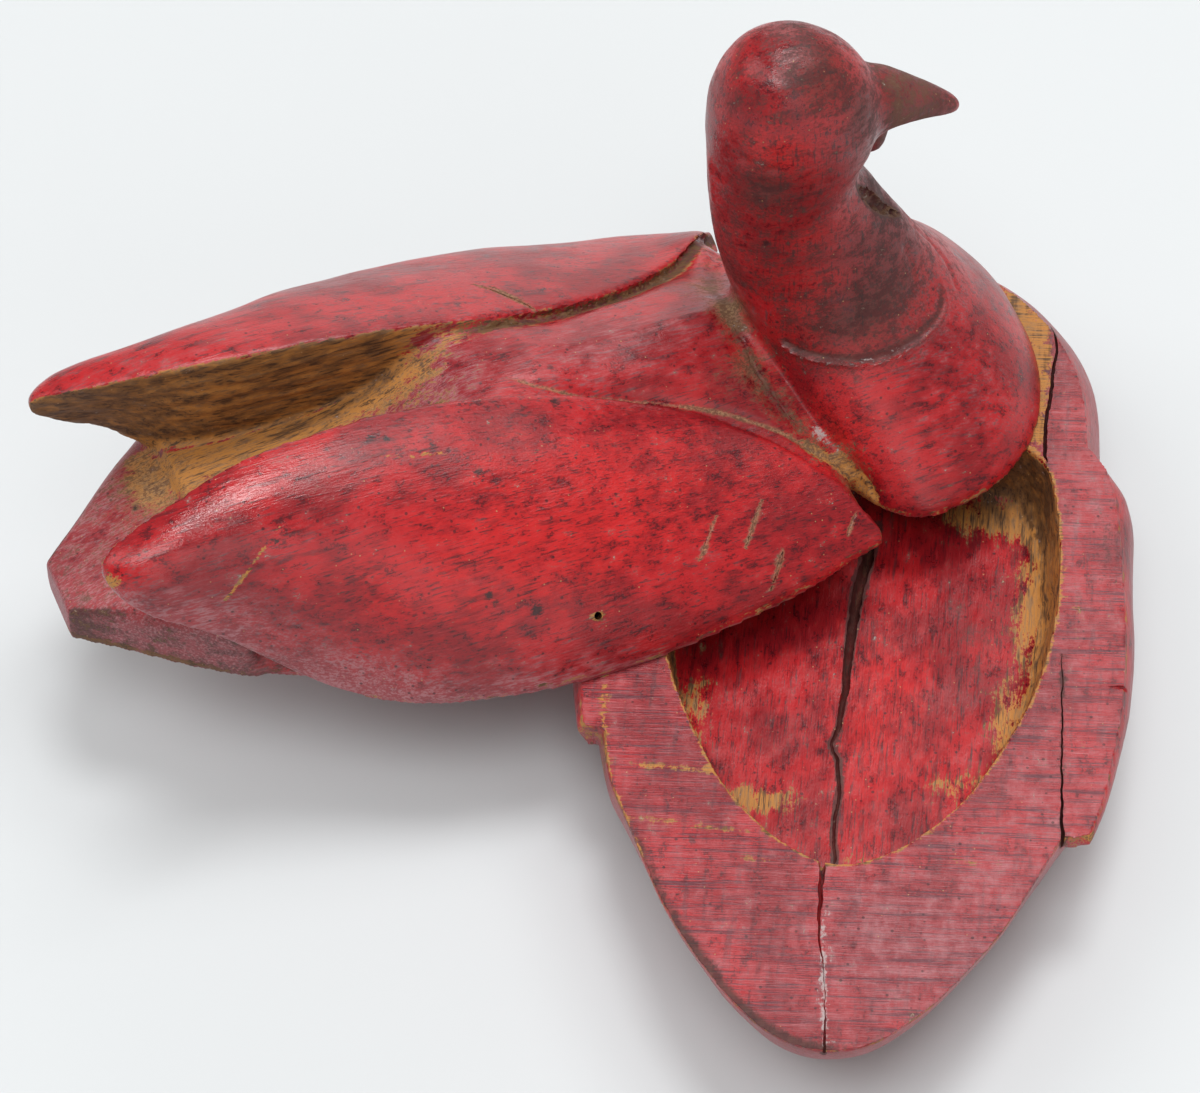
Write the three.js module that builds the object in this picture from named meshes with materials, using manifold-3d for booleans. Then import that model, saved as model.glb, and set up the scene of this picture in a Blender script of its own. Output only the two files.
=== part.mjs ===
// A carved and painted wooden duck that is a lidded box in two halves.
// The base is the belly with an oval well. The lid is the back, wings, tail, neck and head,
// and turns on a peg under the breast. It is shown swung open, as it stands.
// Millimetres, +Z up, breast towards +Y, origin under the middle of the flat underside.

import * as THREE from 'three';
import { mergeVertices } from 'three/addons/utils/BufferGeometryUtils.js';
import Module from 'manifold-3d';

// Driving dimensions
const baseHeight = 28;
const partingGap = 0.3;
const pegY = 62;
const pegRadius = 4;
const pegHeight = 10;
const socketRadius = 4.35;
const socketDepth = 10.6;
const openAngle = -62.5;
const wellDepth = 13;
const wellFillet = 3;

// Base outline at the parting plane: [y, half width]
const hullOutline = [
  [90, 0], [89.4, 6], [88, 11], [85.5, 16.8], [82.5, 21.8], [79, 26], [75, 29.6], [71, 32.4],
  [66, 35], [61, 36.9], [55, 38.2], [45, 39.4], [34, 40.8], [22, 42], [8, 42.9], [-6, 43.1],
  [-20, 42.6], [-30, 41.6], [-37.5, 40], [-44, 37.3], [-50, 34.6], [-56, 31.9], [-62, 29],
  [-68, 25.5], [-74, 21.4], [-79, 17.6], [-83, 13.8], [-86.3, 9.8], [-88.6, 5.4], [-89.5, 0],
];

// Belly below it: [height, front length, rear length, breast width, middle width, tail width]
const hullLevels = [
  [0, 0.84, 0.66, 0.82, 0.89, 0.60],
  [1.2, 0.89, 0.71, 0.88, 0.935, 0.66],
  [4, 0.96, 0.78, 0.95, 0.975, 0.73],
  [8.5, 1.025, 0.845, 1.02, 1.01, 0.81],
  [14, 1.075, 0.91, 1.10, 1.03, 0.88],
  [19, 1.07, 0.952, 1.105, 1.03, 0.935],
  [24, 1.038, 0.982, 1.06, 1.015, 0.975],
  [28, 1, 1, 1, 1, 1],
];

// Lower crescents of the wings on the base: [y, outer half width at the parting plane]
const crescentEdge = [
  [44.5, 39.8], [42, 41.6], [38.5, 43.1], [32.8, 44.3], [23.6, 45.5], [14.5, 46.4], [5.5, 47],
  [-4, 47.2], [-12, 47.1], [-18, 46.6], [-25.4, 45.7], [-34, 44.3], [-41.8, 42.2],
];
const crescentEndRight = -41.8;
const crescentEndLeft = -26;

// How far a crescent reaches down: [y, depth]
const crescentDrop = [[44.5, 17], [30, 17], [10, 15], [-10, 11], [-26, 6.5], [-41.8, 3.6]];

// Well outline: [y, half width]
const wellOutline = [
  [45, 0], [45, 14], [44.6, 24], [43, 29.5], [38.7, 32.4], [34, 33.6], [27, 34.6], [19, 35.2],
  [10, 35.3], [2, 34.5], [-6, 33.3], [-14, 31.2], [-21, 28.5], [-28, 25.3], [-34, 22.2],
  [-39.5, 18.3], [-44, 14], [-47.4, 10.3], [-50, 6], [-51.5, 2.2], [-51.7, 0],
];

// Wing ridge on the lid, above the parting plane: [y, distance from the middle], [y, height]
const ridgeOut = [
  [-91.8, 19], [-89, 17.8], [-85, 16.4], [-75, 13.9], [-60, 11], [-45, 9.5], [-30, 9], [-15, 9.2],
  [0, 10.8], [15, 14.8], [30, 22.5], [40, 31], [45.5, 39.2],
];
const ridgeUp = [
  [-91.8, 34.6], [-89, 36], [-85, 37.2], [-75, 39], [-60, 40.3], [-45, 39.6], [-30, 37.4], [-15, 33.6],
  [0, 28.6], [15, 22.8], [30, 16.2], [40, 9.6], [45.5, 2],
];

// Lower edge of a wing: [y, distance from the middle], [y, height]
const edgeOut = [
  [-91.8, 21.6], [-89.5, 24], [-85, 26], [-80, 27], [-75, 27.8], [-70, 29.2], [-60, 34], [-52, 38.2],
  [-44, 42.7], [-37, 45.3], [-30, 46.9], [-24, 48.1], [-13, 49.1], [-1, 49], [10.5, 47.9],
  [20, 46.6], [26.8, 45.5], [33, 43.9], [37, 42.6], [42, 41.2], [45.5, 40.4],
];
const edgeUp = [
  [-91.8, 31.4], [-89.5, 28.2], [-85, 24], [-80, 20.4], [-75, 16.4], [-70, 12], [-62, 5.6], [-55, 1.4],
  [-49, 0], [45.5, 0],
];

// Inner foot of a wing, where it meets the back: [y, distance from the middle]
const footOut = [
  [-91.8, 18.8], [-88, 19.4], [-80, 19.6], [-75, 18.6], [-66, 14.5], [-57, 12.2], [-45, 10.6],
  [-30, 9.4], [-15, 8.6], [0, 9.6], [15, 12.5], [30, 19], [40, 27], [45.5, 34],
];

// Back and tail of the lid: [y, half width at the parting plane], [y, height along the middle]
const backOut = [
  [-95.4, 6], [-93, 8], [-88, 11.8], [-82.5, 16.4], [-76.7, 21], [-68, 27], [-61.7, 30.7],
  [-54, 35.2], [-44, 39.5], [-30, 42], [-10, 43], [10, 42], [30, 38], [44, 36],
];
const backUp = [
  [-95.4, 8.2], [-88, 11], [-80, 13.6], [-71.4, 15.6], [-69.6, 18.2], [-57, 19.5], [-45, 21],
  [-36, 23.5], [-27, 28], [-18, 31.6], [-8, 31.6], [5, 29.6], [18, 28.4], [30, 28.2], [38, 25], [44, 20],
];

// Fullness of a wing's outer face, 1 is an ellipse and 2 is flat: [y, exponent]
const wingFlatness = [
  [-91.8, 0.8], [-85, 0.62], [-75, 0.66], [-60, 0.82], [-45, 1], [-30, 1.14], [0, 1.25],
  [30, 1.5], [45, 1.6],
];

// Breast, neck and head: [height, rear y, front y, half width, y of the widest place]
const neckLevels = [
  [-2, 41.5, 91, 38.4, 57], [0, 40.5, 90.4, 38, 57], [6, 39, 88, 34.4, 57],
  [12, 37.6, 84, 29.2, 55.5], [18, 36.2, 79.4, 23.6, 53.5], [24, 34.8, 75, 18.4, 51],
  [30, 33, 70.6, 14.4, 48.5], [37, 31, 66.2, 12, 46], [45, 29.3, 61.4, 10.9, 43.6],
  [52, 28.5, 57.6, 10.4, 42.2], [56.5, 28.2, 54.9, 10.6, 41.8], [60.5, 28, 55.4, 11.1, 42],
  [65, 27.7, 57.6, 11.7, 42.4], [71, 27.5, 58.4, 12.2, 42.5], [77, 27.8, 57.6, 12.1, 42.3],
  [81.5, 29, 55.2, 11.3, 42], [85, 30.8, 52, 9.8, 41.6], [87.8, 33.2, 48.8, 7.4, 41],
  [89.6, 36.4, 45.4, 4.3, 41], [90.3, 39.8, 42, 1.2, 41],
];

// Beak: [y, middle height, half width, half height]
const beakSections = [
  [50, 70.5, 6.5, 7], [56, 70.6, 6.6, 7.1], [60, 70, 5.9, 6.3], [64, 68.4, 4.8, 4.9],
  [68, 66.4, 3.6, 3.5], [71.5, 64.3, 2.5, 2.3], [73.8, 62.9, 1.4, 1.3], [74.6, 62.4, 0.5, 0.5],
];

const wasm = await Module();
wasm.setup();

// Smooth interpolation through a table of [position, value], without overshoot
function curve(table) {
  const points = [...table].sort((a, b) => a[0] - b[0]);
  const n = points.length;
  const slope = [];
  for (let i = 0; i < n - 1; i++) {
    slope.push((points[i + 1][1] - points[i][1]) / (points[i + 1][0] - points[i][0]));
  }
  const tangent = points.map((_, i) => {
    if (i === 0) return slope[0];
    if (i === n - 1) return slope[n - 2];
    if (slope[i - 1] * slope[i] <= 0) return 0;
    return 2 * slope[i - 1] * slope[i] / (slope[i - 1] + slope[i]);
  });
  return (x) => {
    if (x <= points[0][0]) return points[0][1];
    if (x >= points[n - 1][0]) return points[n - 1][1];
    let i = 0;
    while (x > points[i + 1][0]) i++;
    const h = points[i + 1][0] - points[i][0];
    const t = (x - points[i][0]) / h;
    const a = points[i][1];
    const b = points[i + 1][1];
    return a * (1 + 2 * t) * (1 - t) ** 2 + b * t * t * (3 - 2 * t)
      + h * t * (1 - t) * (tangent[i] * (1 - t) - tangent[i + 1] * t);
  };
}

// A closed skin over rings of the same number of points, with flat ends
function loft(rings) {
  const n = rings[0].length;
  const positions = rings.flat(2);
  const index = [];
  for (let r = 0; r < rings.length - 1; r++) {
    for (let i = 0; i < n; i++) {
      const j = (i + 1) % n;
      const a = r * n + i, b = r * n + j, c = (r + 1) * n + i, d = (r + 1) * n + j;
      index.push(a, b, d, a, d, c);
    }
  }
  for (const [ring, start, turn] of [[rings[0], 0, 1], [rings.at(-1), (rings.length - 1) * n, 0]]) {
    const middle = positions.length / 3;
    for (let k = 0; k < 3; k++) positions.push(ring.reduce((sum, p) => sum + p[k], 0) / n);
    for (let i = 0; i < n; i++) {
      const j = (i + 1) % n;
      index.push(middle, start + (turn ? j : i), start + (turn ? i : j));
    }
  }
  const geometry = new THREE.BufferGeometry();
  geometry.setAttribute('position', new THREE.Float32BufferAttribute(positions, 3));
  geometry.setIndex(index);
  return geometry;
}

function solid(geometry) {
  const bare = geometry.clone();
  bare.deleteAttribute('normal');
  bare.deleteAttribute('uv');
  const merged = mergeVertices(bare, 1e-4);
  const make = (triangles) => new wasm.Manifold(new wasm.Mesh({
    numProp: 3,
    vertProperties: new Float32Array(merged.attributes.position.array),
    triVerts: triangles,
  }));
  const triangles = new Uint32Array(merged.index.array);
  const made = make(triangles);
  if (made.volume() > 0) return made;
  for (let i = 0; i < triangles.length; i += 3) {
    [triangles[i + 1], triangles[i + 2]] = [triangles[i + 2], triangles[i + 1]];
  }
  return make(triangles);
}

function block(x0, x1, y0, y1, z0, z1) {
  const geometry = new THREE.BoxGeometry(x1 - x0, y1 - y0, z1 - z0);
  geometry.translate((x0 + x1) / 2, (y0 + y1) / 2, (z0 + z1) / 2);
  return solid(geometry);
}

function post(radius, z0, z1) {
  const geometry = new THREE.CylinderGeometry(radius, radius, z1 - z0, 32);
  geometry.rotateX(Math.PI / 2);
  geometry.translate(0, pegY, (z0 + z1) / 2);
  return solid(geometry);
}

// Ring at one level from a half outline, mirrored
function fullRing(half, x, y, z) {
  const right = half.map(([py, px]) => [x(px, py), y(py), z]);
  const left = half.slice(1, -1).reverse().map(([py, px]) => [-x(px, py), y(py), z]);
  return [...right, ...left];
}

const mix = (a, b, t) => a + (b - a) * Math.min(1, Math.max(0, t));

function hull() {
  const rings = hullLevels.map(([z, front, rear, breast, middle, tail]) => fullRing(
    hullOutline,
    (px, py) => px * mix(mix(middle, tail, (-20 - py) / 50), breast, (py - 20) / 50),
    (py) => py * (py > 0 ? front : rear),
    z,
  ));
  return solid(loft(rings));
}

// Lower part of one wing on the base, broken off short at its rear end
function crescent(side, end) {
  const outer = curve(crescentEdge), drop = curve(crescentDrop);
  const rings = [];
  for (const t of [0, 0.04, 0.1, 0.2, 0.32, 0.45, 0.58, 0.7, 0.82, 0.92, 1]) {
    const y = mix(44.5, end, t);
    const x = outer(y);
    const d = drop(y);
    const k = Math.min(1, (44.5 - y) / 9 + 0.12) * d / 14;
    rings.push([
      [x - 9, 0], [x, 0], [x + 1.6 * k, -0.2 * d], [x + 2.3 * k, -0.45 * d],
      [x + 1.5 * k, -0.7 * d], [x - 1.5 * k - 0.5, -0.9 * d], [x - 5.5 * k - 1.5, -d], [x - 12, -d],
    ].map(([px, pz]) => [side * px, y, baseHeight + pz]));
  }
  return solid(loft(rings));
}

function wellCutter() {
  const levels = [
    [baseHeight - wellDepth, 0.86], [baseHeight - wellDepth + 0.6, 0.91],
    [baseHeight - wellDepth + wellFillet, 0.955], [baseHeight - 2, 0.99], [baseHeight + 2, 1],
  ];
  return solid(loft(levels.map(([z, k]) => fullRing(
    wellOutline, (px) => px * k, (py) => -3 + (py + 3) * (0.3 + 0.7 * k), z,
  ))));
}

function makeBase() {
  return hull()
    .add(crescent(1, crescentEndRight))
    .add(crescent(-1, crescentEndLeft))
    .subtract(wellCutter())
    .add(post(pegRadius, baseHeight - 3, baseHeight + pegHeight));
}

// One wing of the lid: a convex leaf between its lower edge and its ridge
function wing(side) {
  const rOut = curve(ridgeOut), rUp = curve(ridgeUp), eOut = curve(edgeOut), eUp = curve(edgeUp);
  const fOut = curve(footOut), bUp = curve(backUp), flat = curve(wingFlatness);
  const stations = [
    -91.8, -91, -89.5, -86, -81, -75, -69, -62, -55, -47, -38, -28, -18, -8, 2, 12, 21, 29, 36, 41, 44, 45.5,
  ];
  return solid(loft(stations.map((y) => {
    const t = rOut(y), h = rUp(y), x = eOut(y), low = eUp(y);
    const ring = [];
    for (let i = 0; i <= 10; i++) {
      const a = (Math.PI / 2) * (i / 10);
      const k = flat(y);
      ring.push([t + (x - t) * Math.cos(a) ** k, low + (h - low) * Math.sin(a) ** k]);
    }
    const deep = y < -64 ? low : Math.min(bUp(y) - 3, low + 0.55 * (h - low));
    const foot = Math.min(fOut(y), x - 0.4);
    ring.push([mix(t, foot, 0.45), mix(h, deep, 0.5)]);
    ring.push([foot, deep + 0.12 * (h - deep)]);
    ring.push([mix(foot, x, 0.3), mix(deep, low, 0.5) - (low > 0.1 ? 0.2 : 0)]);
    ring.push([mix(foot, x, 0.7), low - 1.2 * (low > 0.1 ? 0 : 1)]);
    ring.push([x - 0.02, low - (low > 0.1 ? 0.05 : 1.2)]);
    return ring.map(([px, pz]) => [side * px, y, pz]);
  })));
}

// Tail slab, then the hollow back between the wings, then the rise to the neck
function backAndTail() {
  const out = curve(backOut), up = curve(backUp), edge = curve(edgeOut);
  const rOut = curve(ridgeOut), rUp = curve(ridgeUp), fOut = curve(footOut);
  const stations = [
    -95.4, -93, -88, -82.5, -77, -71.4, -69.6, -64, -57, -50, -43, -36, -30, -24, -18, -10, 0, 10,
    20, 30, 40, 44,
  ];
  return solid(loft(stations.map((y) => {
    const h = up(y);
    let half;
    if (y < -70) {
      const w = out(y), side = Math.min(h - 1, 7 + (y + 95) * 0.14);
      half = [
        [w, -2], [w, side], [w * 0.95, mix(side, h, 0.4)], [w * 0.84, mix(side, h, 0.78)],
        [w * 0.45, h - 0.4],
      ];
    } else {
      const w = Math.min(out(y), edge(y) - 4);
      const t = (y + 18) / 10;
      const x = Math.min(mix(fOut(y) + 2, rOut(y) + 1, t), w - 1);
      const z = mix(h - 0.8, rUp(y) - 1.8, t);
      const rise = mix(0.75, 0.3, (y - 12) / 28);
      half = [
        [w, -2], [w, 0.5], [(w + x) / 2, mix(0.5, z, 0.55)], [x, z], [x * 0.55, mix(z, h, rise)],
      ];
    }
    const left = [...half].reverse().map(([px, pz]) => [-px, pz]);
    return [...half, [0, h], ...left].map(([px, pz]) => [px, y, pz]);
  })));
}

function breastNeckHead() {
  const points = 40;
  return solid(loft(neckLevels.map(([z, rear, front, width, wide]) => {
    const ring = [];
    for (let i = 0; i < points; i++) {
      const a = (2 * Math.PI * i) / points;
      const reach = Math.cos(a) > 0 ? front - wide : wide - rear;
      const round = (v) => Math.sign(v) * Math.abs(v) ** 0.95;
      ring.push([width * round(Math.sin(a)), wide + reach * round(Math.cos(a)), z]);
    }
    return ring;
  })));
}

function beak() {
  const points = 16;
  return solid(loft(beakSections.map(([y, z, width, height]) => {
    const ring = [];
    for (let i = 0; i < points; i++) {
      const a = (2 * Math.PI * i) / points;
      ring.push([width * Math.sin(a), y, z + height * Math.cos(a)]);
    }
    return ring;
  })));
}

function makeLid() {
  return backAndTail()
    .add(wing(1))
    .add(wing(-1))
    .add(breastNeckHead())
    .add(beak())
    .subtract(block(-120, 120, -120, 120, -30, 0))
    .subtract(post(socketRadius, -1, socketDepth));
}

function toGeometry(manifold) {
  const mesh = manifold.getMesh();
  const geometry = new THREE.BufferGeometry();
  const position = [];
  for (let i = 0; i < mesh.vertProperties.length; i += mesh.numProp) {
    position.push(...mesh.vertProperties.slice(i, i + 3));
  }
  geometry.setAttribute('position', new THREE.Float32BufferAttribute(position, 3));
  geometry.setIndex(Array.from(mesh.triVerts));
  geometry.computeVertexNormals();
  return geometry;
}

function piece(name, manifold, color) {
  const material = new THREE.MeshStandardMaterial({ color, roughness: 0.45, metalness: 0 });
  const mesh = new THREE.Mesh(toGeometry(manifold), material);
  mesh.name = name;
  return mesh;
}

const base = piece('base', makeBase(), '#8e2a33');
const lid = piece('lid', makeLid(), '#a8242c');
lid.position.set(0, -pegY, 0);

const swivel = new THREE.Group();
swivel.position.set(0, pegY, baseHeight + partingGap);
swivel.rotation.z = THREE.MathUtils.degToRad(openAngle);
swivel.add(lid);

const duck = new THREE.Group();
duck.add(base, swivel);

export default duck;
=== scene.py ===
# A carved, painted wooden duck box with its lid swung open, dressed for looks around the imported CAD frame.
import math
import bpy
import numpy as np
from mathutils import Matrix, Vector


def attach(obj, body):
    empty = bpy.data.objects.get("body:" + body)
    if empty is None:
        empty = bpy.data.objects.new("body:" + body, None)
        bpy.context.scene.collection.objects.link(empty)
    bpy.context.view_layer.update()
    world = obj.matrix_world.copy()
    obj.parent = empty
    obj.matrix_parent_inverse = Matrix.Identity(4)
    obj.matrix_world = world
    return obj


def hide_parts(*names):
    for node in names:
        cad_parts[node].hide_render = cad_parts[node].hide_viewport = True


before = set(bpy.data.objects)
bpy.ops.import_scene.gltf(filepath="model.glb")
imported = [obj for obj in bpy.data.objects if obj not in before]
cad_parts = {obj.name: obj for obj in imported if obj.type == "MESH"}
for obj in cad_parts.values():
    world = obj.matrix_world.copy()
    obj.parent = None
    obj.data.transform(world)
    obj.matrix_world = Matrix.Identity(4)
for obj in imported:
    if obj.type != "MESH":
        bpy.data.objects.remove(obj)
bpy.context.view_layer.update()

# Both halves are modelled in millimetres, closed, and put into metres and into place at the end.
common = {
    "mm": 0.001,
    "baseHeight": 28.0,       # parting plane above the table
    "partingGap": 0.3,        # lid underside above the parting plane
    "pegY": 62.0,             # swivel axis on the long axis
    "pegRadius": 4.0,
    "pegHeight": 10.0,
    "socketRadius": 4.35,
    "socketDepth": 10.6,
    "openAngle": -62.5,       # how far the lid is swung in the photograph
    "triangles": 188000,      # per piece
    "sharpAngle": 48.0,       # edges sharper than this stay crisp
}


def say(text):
    print("duck:", text, flush=True)


def linear(code):  # sRGB hex to linear
    out = []
    for i in (0, 2, 4):
        c = int(code[i:i + 2], 16) / 255
        out.append(c / 12.92 if c <= 0.04045 else ((c + 0.055) / 1.055) ** 2.4)
    return (*out, 1.0)


def mix(a, b, t):
    return a + (b - a) * np.clip(t, 0.0, 1.0)


def smooth(a, b, x):  # 0 below a, 1 above b
    t = np.clip((x - a) / (b - a), 0.0, 1.0)
    return t * t * (3 - 2 * t)


def curve(table):  # smooth interpolation without overshoot
    pts = np.array(sorted(tuple(row) for row in table), float)
    xs, ys = pts[:, 0], pts[:, 1]
    h = np.diff(xs)
    d = np.diff(ys) / h
    m = np.empty(len(xs))
    m[0], m[-1] = d[0], d[-1]
    both = d[:-1] * d[1:]
    total = np.where(np.abs(d[:-1] + d[1:]) < 1e-12, 1.0, d[:-1] + d[1:])
    m[1:-1] = np.where(both <= 0, 0.0, 2 * both / total)

    def at(x):
        x = np.clip(np.asarray(x, float), xs[0], xs[-1])
        i = np.clip(np.searchsorted(xs, x, side="right") - 1, 0, len(h) - 1)
        t = (x - xs[i]) / h[i]
        return (ys[i] * (1 + 2 * t) * (1 - t) ** 2 + ys[i + 1] * t * t * (3 - 2 * t)
                + h[i] * t * (1 - t) * (m[i] * (1 - t) - m[i + 1] * t))
    return at


def curves(table):  # one smooth curve for each column after the first
    rows = np.array(table, float)
    return [curve(rows[:, [0, k]]) for k in range(1, rows.shape[1])]


def lattice(ix, iy, iz, seed):  # repeatable numbers from 0 to 1 on whole-number points
    h = (ix.astype(np.int64) * 374761393 + iy.astype(np.int64) * 668265263
         + iz.astype(np.int64) * 1440662683 + seed * 1013904223) & 0xFFFFFFFF
    h = ((h ^ (h >> 13)) * 1274126177) & 0xFFFFFFFF
    h = ((h ^ (h >> 16)) * 2246822519) & 0xFFFFFFFF
    return ((h ^ (h >> 15)) & 0xFFFFFF) / float(0xFFFFFF)


def noise(p, size, seed, octaves=2):  # smooth noise from -1 to 1, size in mm, one number or three
    total, gain, norm = 0.0, 1.0, 0.0
    q = np.asarray(p, float) / np.asarray(size, float)
    for o in range(octaves):
        f = np.floor(q)
        t = q - f
        t = t * t * (3 - 2 * t)
        value = 0.0
        for dx in (0, 1):
            for dy in (0, 1):
                for dz in (0, 1):
                    w = ((t[:, 0] if dx else 1 - t[:, 0]) * (t[:, 1] if dy else 1 - t[:, 1])
                         * (t[:, 2] if dz else 1 - t[:, 2]))
                    value = value + w * lattice(f[:, 0] + dx, f[:, 1] + dy, f[:, 2] + dz, seed + o * 17)
        total = total + gain * (2 * value - 1)
        norm += gain
        gain *= 0.5
        q = q * 2.03 + 11.3
    return total / norm


def uneven(p, marks):  # mm up or down, from grains of noise: depth, stretch, size in mm, seed, octaves
    return sum(deep * noise(p * stretch, size, seed, octaves) for deep, stretch, size, seed, octaves in marks)


def blob(p, centre, size):  # 1 in the middle of a soft ellipsoid, 0 outside
    return np.exp(-(((p - np.array(centre, float)) / np.array(size, float)) ** 2).sum(axis=1))


def lineGap(p, line):  # distance to a polyline, and how far along it the nearest place is, 0 to 1
    line = np.array(line, float)
    best = np.full(len(p), 1e9)
    along = np.zeros(len(p))
    lengths = np.linalg.norm(np.diff(line, axis=0), axis=1)
    run = np.concatenate([[0], np.cumsum(lengths)])
    for i in range(len(line) - 1):
        d = line[i + 1] - line[i]
        t = np.clip(((p - line[i]) @ d) / (d @ d), 0, 1)
        gap = np.linalg.norm(p - line[i] - t[:, None] * d, axis=1)
        near = gap < best
        best[near] = gap[near]
        along[near] = (run[i] + t[near] * lengths[i]) / run[-1]
    return best, along


def planGap(p, line):  # the same, seen from above
    return lineGap(p[:, :2], np.array(line, float)[:, :2])


def widthAt(along, widths):  # half width of a groove at a place from 0 to 1 along it
    return np.interp(along, np.linspace(0, 1, len(widths)), widths)


def addNode(tree, kind, values):  # one node with its settings, inputs and links; hex colours turn linear
    node = tree.nodes.new(kind)
    for key, value in values.items():
        if isinstance(value, bpy.types.Node):
            value = next(s for s in value.outputs if s.enabled)
        plug = node.inputs[key] if isinstance(key, int) or key in node.inputs else None
        if isinstance(value, bpy.types.NodeSocket):
            tree.links.new(value, plug)
        elif plug is None:
            setattr(node, key, value)
        elif isinstance(value, str) and plug.type == "RGBA":
            plug.default_value = linear(value)
        else:
            plug.default_value = value
    return node


def linked(name, data):
    obj = bpy.data.objects.new(name, data)
    bpy.context.scene.collection.objects.link(obj)
    return obj


def meshObject(name, verts, faces, edges=()):
    mesh = bpy.data.meshes.new(name)
    mesh.from_pydata([tuple(v) for v in verts], edges, faces)
    mesh.update()
    return linked(name, mesh)


def loft(name, rings):  # closed skin over rings of equal count, facing outwards
    rings = np.asarray(rings, float)
    count, n = rings.shape[:2]
    verts = rings.reshape(-1, 3).tolist()
    faces = []
    for r in range(count - 1):
        for i in range(n):
            j = (i + 1) % n
            faces.append((r * n + i, r * n + j, (r + 1) * n + j, (r + 1) * n + i))
    for start, flip in ((0, True), ((count - 1) * n, False)):
        middle = len(verts)
        verts.append(rings[0 if flip else -1].mean(axis=0).tolist())
        for i in range(n):
            j = (i + 1) % n
            faces.append((middle, start + j, start + i) if flip else (middle, start + i, start + j))
    tri = np.array([(f[0], f[1], f[2]) for f in faces] + [(f[0], f[2], f[3]) for f in faces if len(f) == 4])
    v = np.array(verts)
    volume = np.einsum("ij,ij->i", v[tri[:, 0]], np.cross(v[tri[:, 1]], v[tri[:, 2]])).sum()
    if volume < 0:
        faces = [tuple(reversed(f)) for f in faces]
    return meshObject(name, verts, faces)


def applied(obj):  # the modifiers' result as a plain mesh on the same object
    dg = bpy.context.evaluated_depsgraph_get()
    mesh = bpy.data.meshes.new_from_object(obj.evaluated_get(dg), depsgraph=dg)
    obj.modifiers.clear()
    old = obj.data
    obj.data = mesh
    bpy.data.meshes.remove(old)
    return obj


def combine(obj, others, operation):
    for other in others:
        cut = obj.modifiers.new("boolean", "BOOLEAN")
        cut.operation = operation
        cut.solver = "MANIFOLD"
        cut.object = other
    applied(obj)
    for other in others:
        bpy.data.objects.remove(other)
    return obj


def positions(mesh):
    v = np.empty(len(mesh.vertices) * 3, np.float32)
    mesh.vertices.foreach_get("co", v)
    return v.reshape(-1, 3).astype(float)


def normals(mesh):
    v = np.empty(len(mesh.vertices) * 3, np.float32)
    mesh.vertex_normals.foreach_get("vector", v)
    return v.reshape(-1, 3).astype(float)


def setPositions(mesh, p):
    mesh.vertices.foreach_set("co", p.astype(np.float32).ravel())
    mesh.update()


def edgesOf(mesh):
    e = np.empty(len(mesh.edges) * 2, np.int32)
    mesh.edges.foreach_get("vertices", e)
    return e.reshape(-1, 2)


def spread(values, edges, rounds, weight=0.5):  # relaxes numbers or points over the mesh
    n = len(values)
    both = np.concatenate([edges, edges[:, ::-1]])
    degree = np.maximum(np.bincount(both[:, 0], minlength=n), 1)
    columns = values if values.ndim == 2 else values[:, None]
    columns = columns.copy()
    for _ in range(rounds):
        for k in range(columns.shape[1]):
            mean = np.bincount(both[:, 0], weights=columns[both[:, 1], k], minlength=n) / degree
            columns[:, k] += weight * (mean - columns[:, k])
    return columns if values.ndim == 2 else columns[:, 0]


def cylinder(name, radius, z0, z1, segments=48):
    a = np.linspace(0, 2 * np.pi, segments, endpoint=False)
    ring = np.stack([radius * np.cos(a), common["pegY"] + radius * np.sin(a), np.zeros(segments)], axis=1)
    return loft(name, [ring + [0, 0, z0], ring + [0, 0, z1]])


def block(name, x0, x1, y0, y1, z0, z1):
    ring = np.array([[x0, y0, 0], [x1, y0, 0], [x1, y1, 0], [x0, y1, 0]], float)
    return loft(name, [ring + [0, 0, z0], ring + [0, 0, z1]])


def socket(tree, name, kind, value=None, output=False):
    item = tree.interface.new_socket(name, in_out="OUTPUT" if output else "INPUT", socket_type=kind)
    if value is not None:
        item.default_value = value
    return item


def shaken(tree, geometry, seed, scale, amount):  # points moved about by noise
    place = addNode(tree, "GeometryNodeInputPosition", {})
    cloud = addNode(tree, "ShaderNodeTexNoise", {"noise_dimensions": "4D", "Detail": 2.0, "Vector": place,
                                                 "W": seed, "Scale": scale})
    centred = addNode(tree, "ShaderNodeVectorMath", {"operation": "SUBTRACT", 0: cloud.outputs["Color"],
                                                     1: (0.5, 0.5, 0.5)})
    moved = addNode(tree, "ShaderNodeVectorMath", {"operation": "SCALE", 0: centred, "Scale": amount})
    return addNode(tree, "GeometryNodeSetPosition", {"Geometry": geometry, "Offset": moved})


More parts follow.
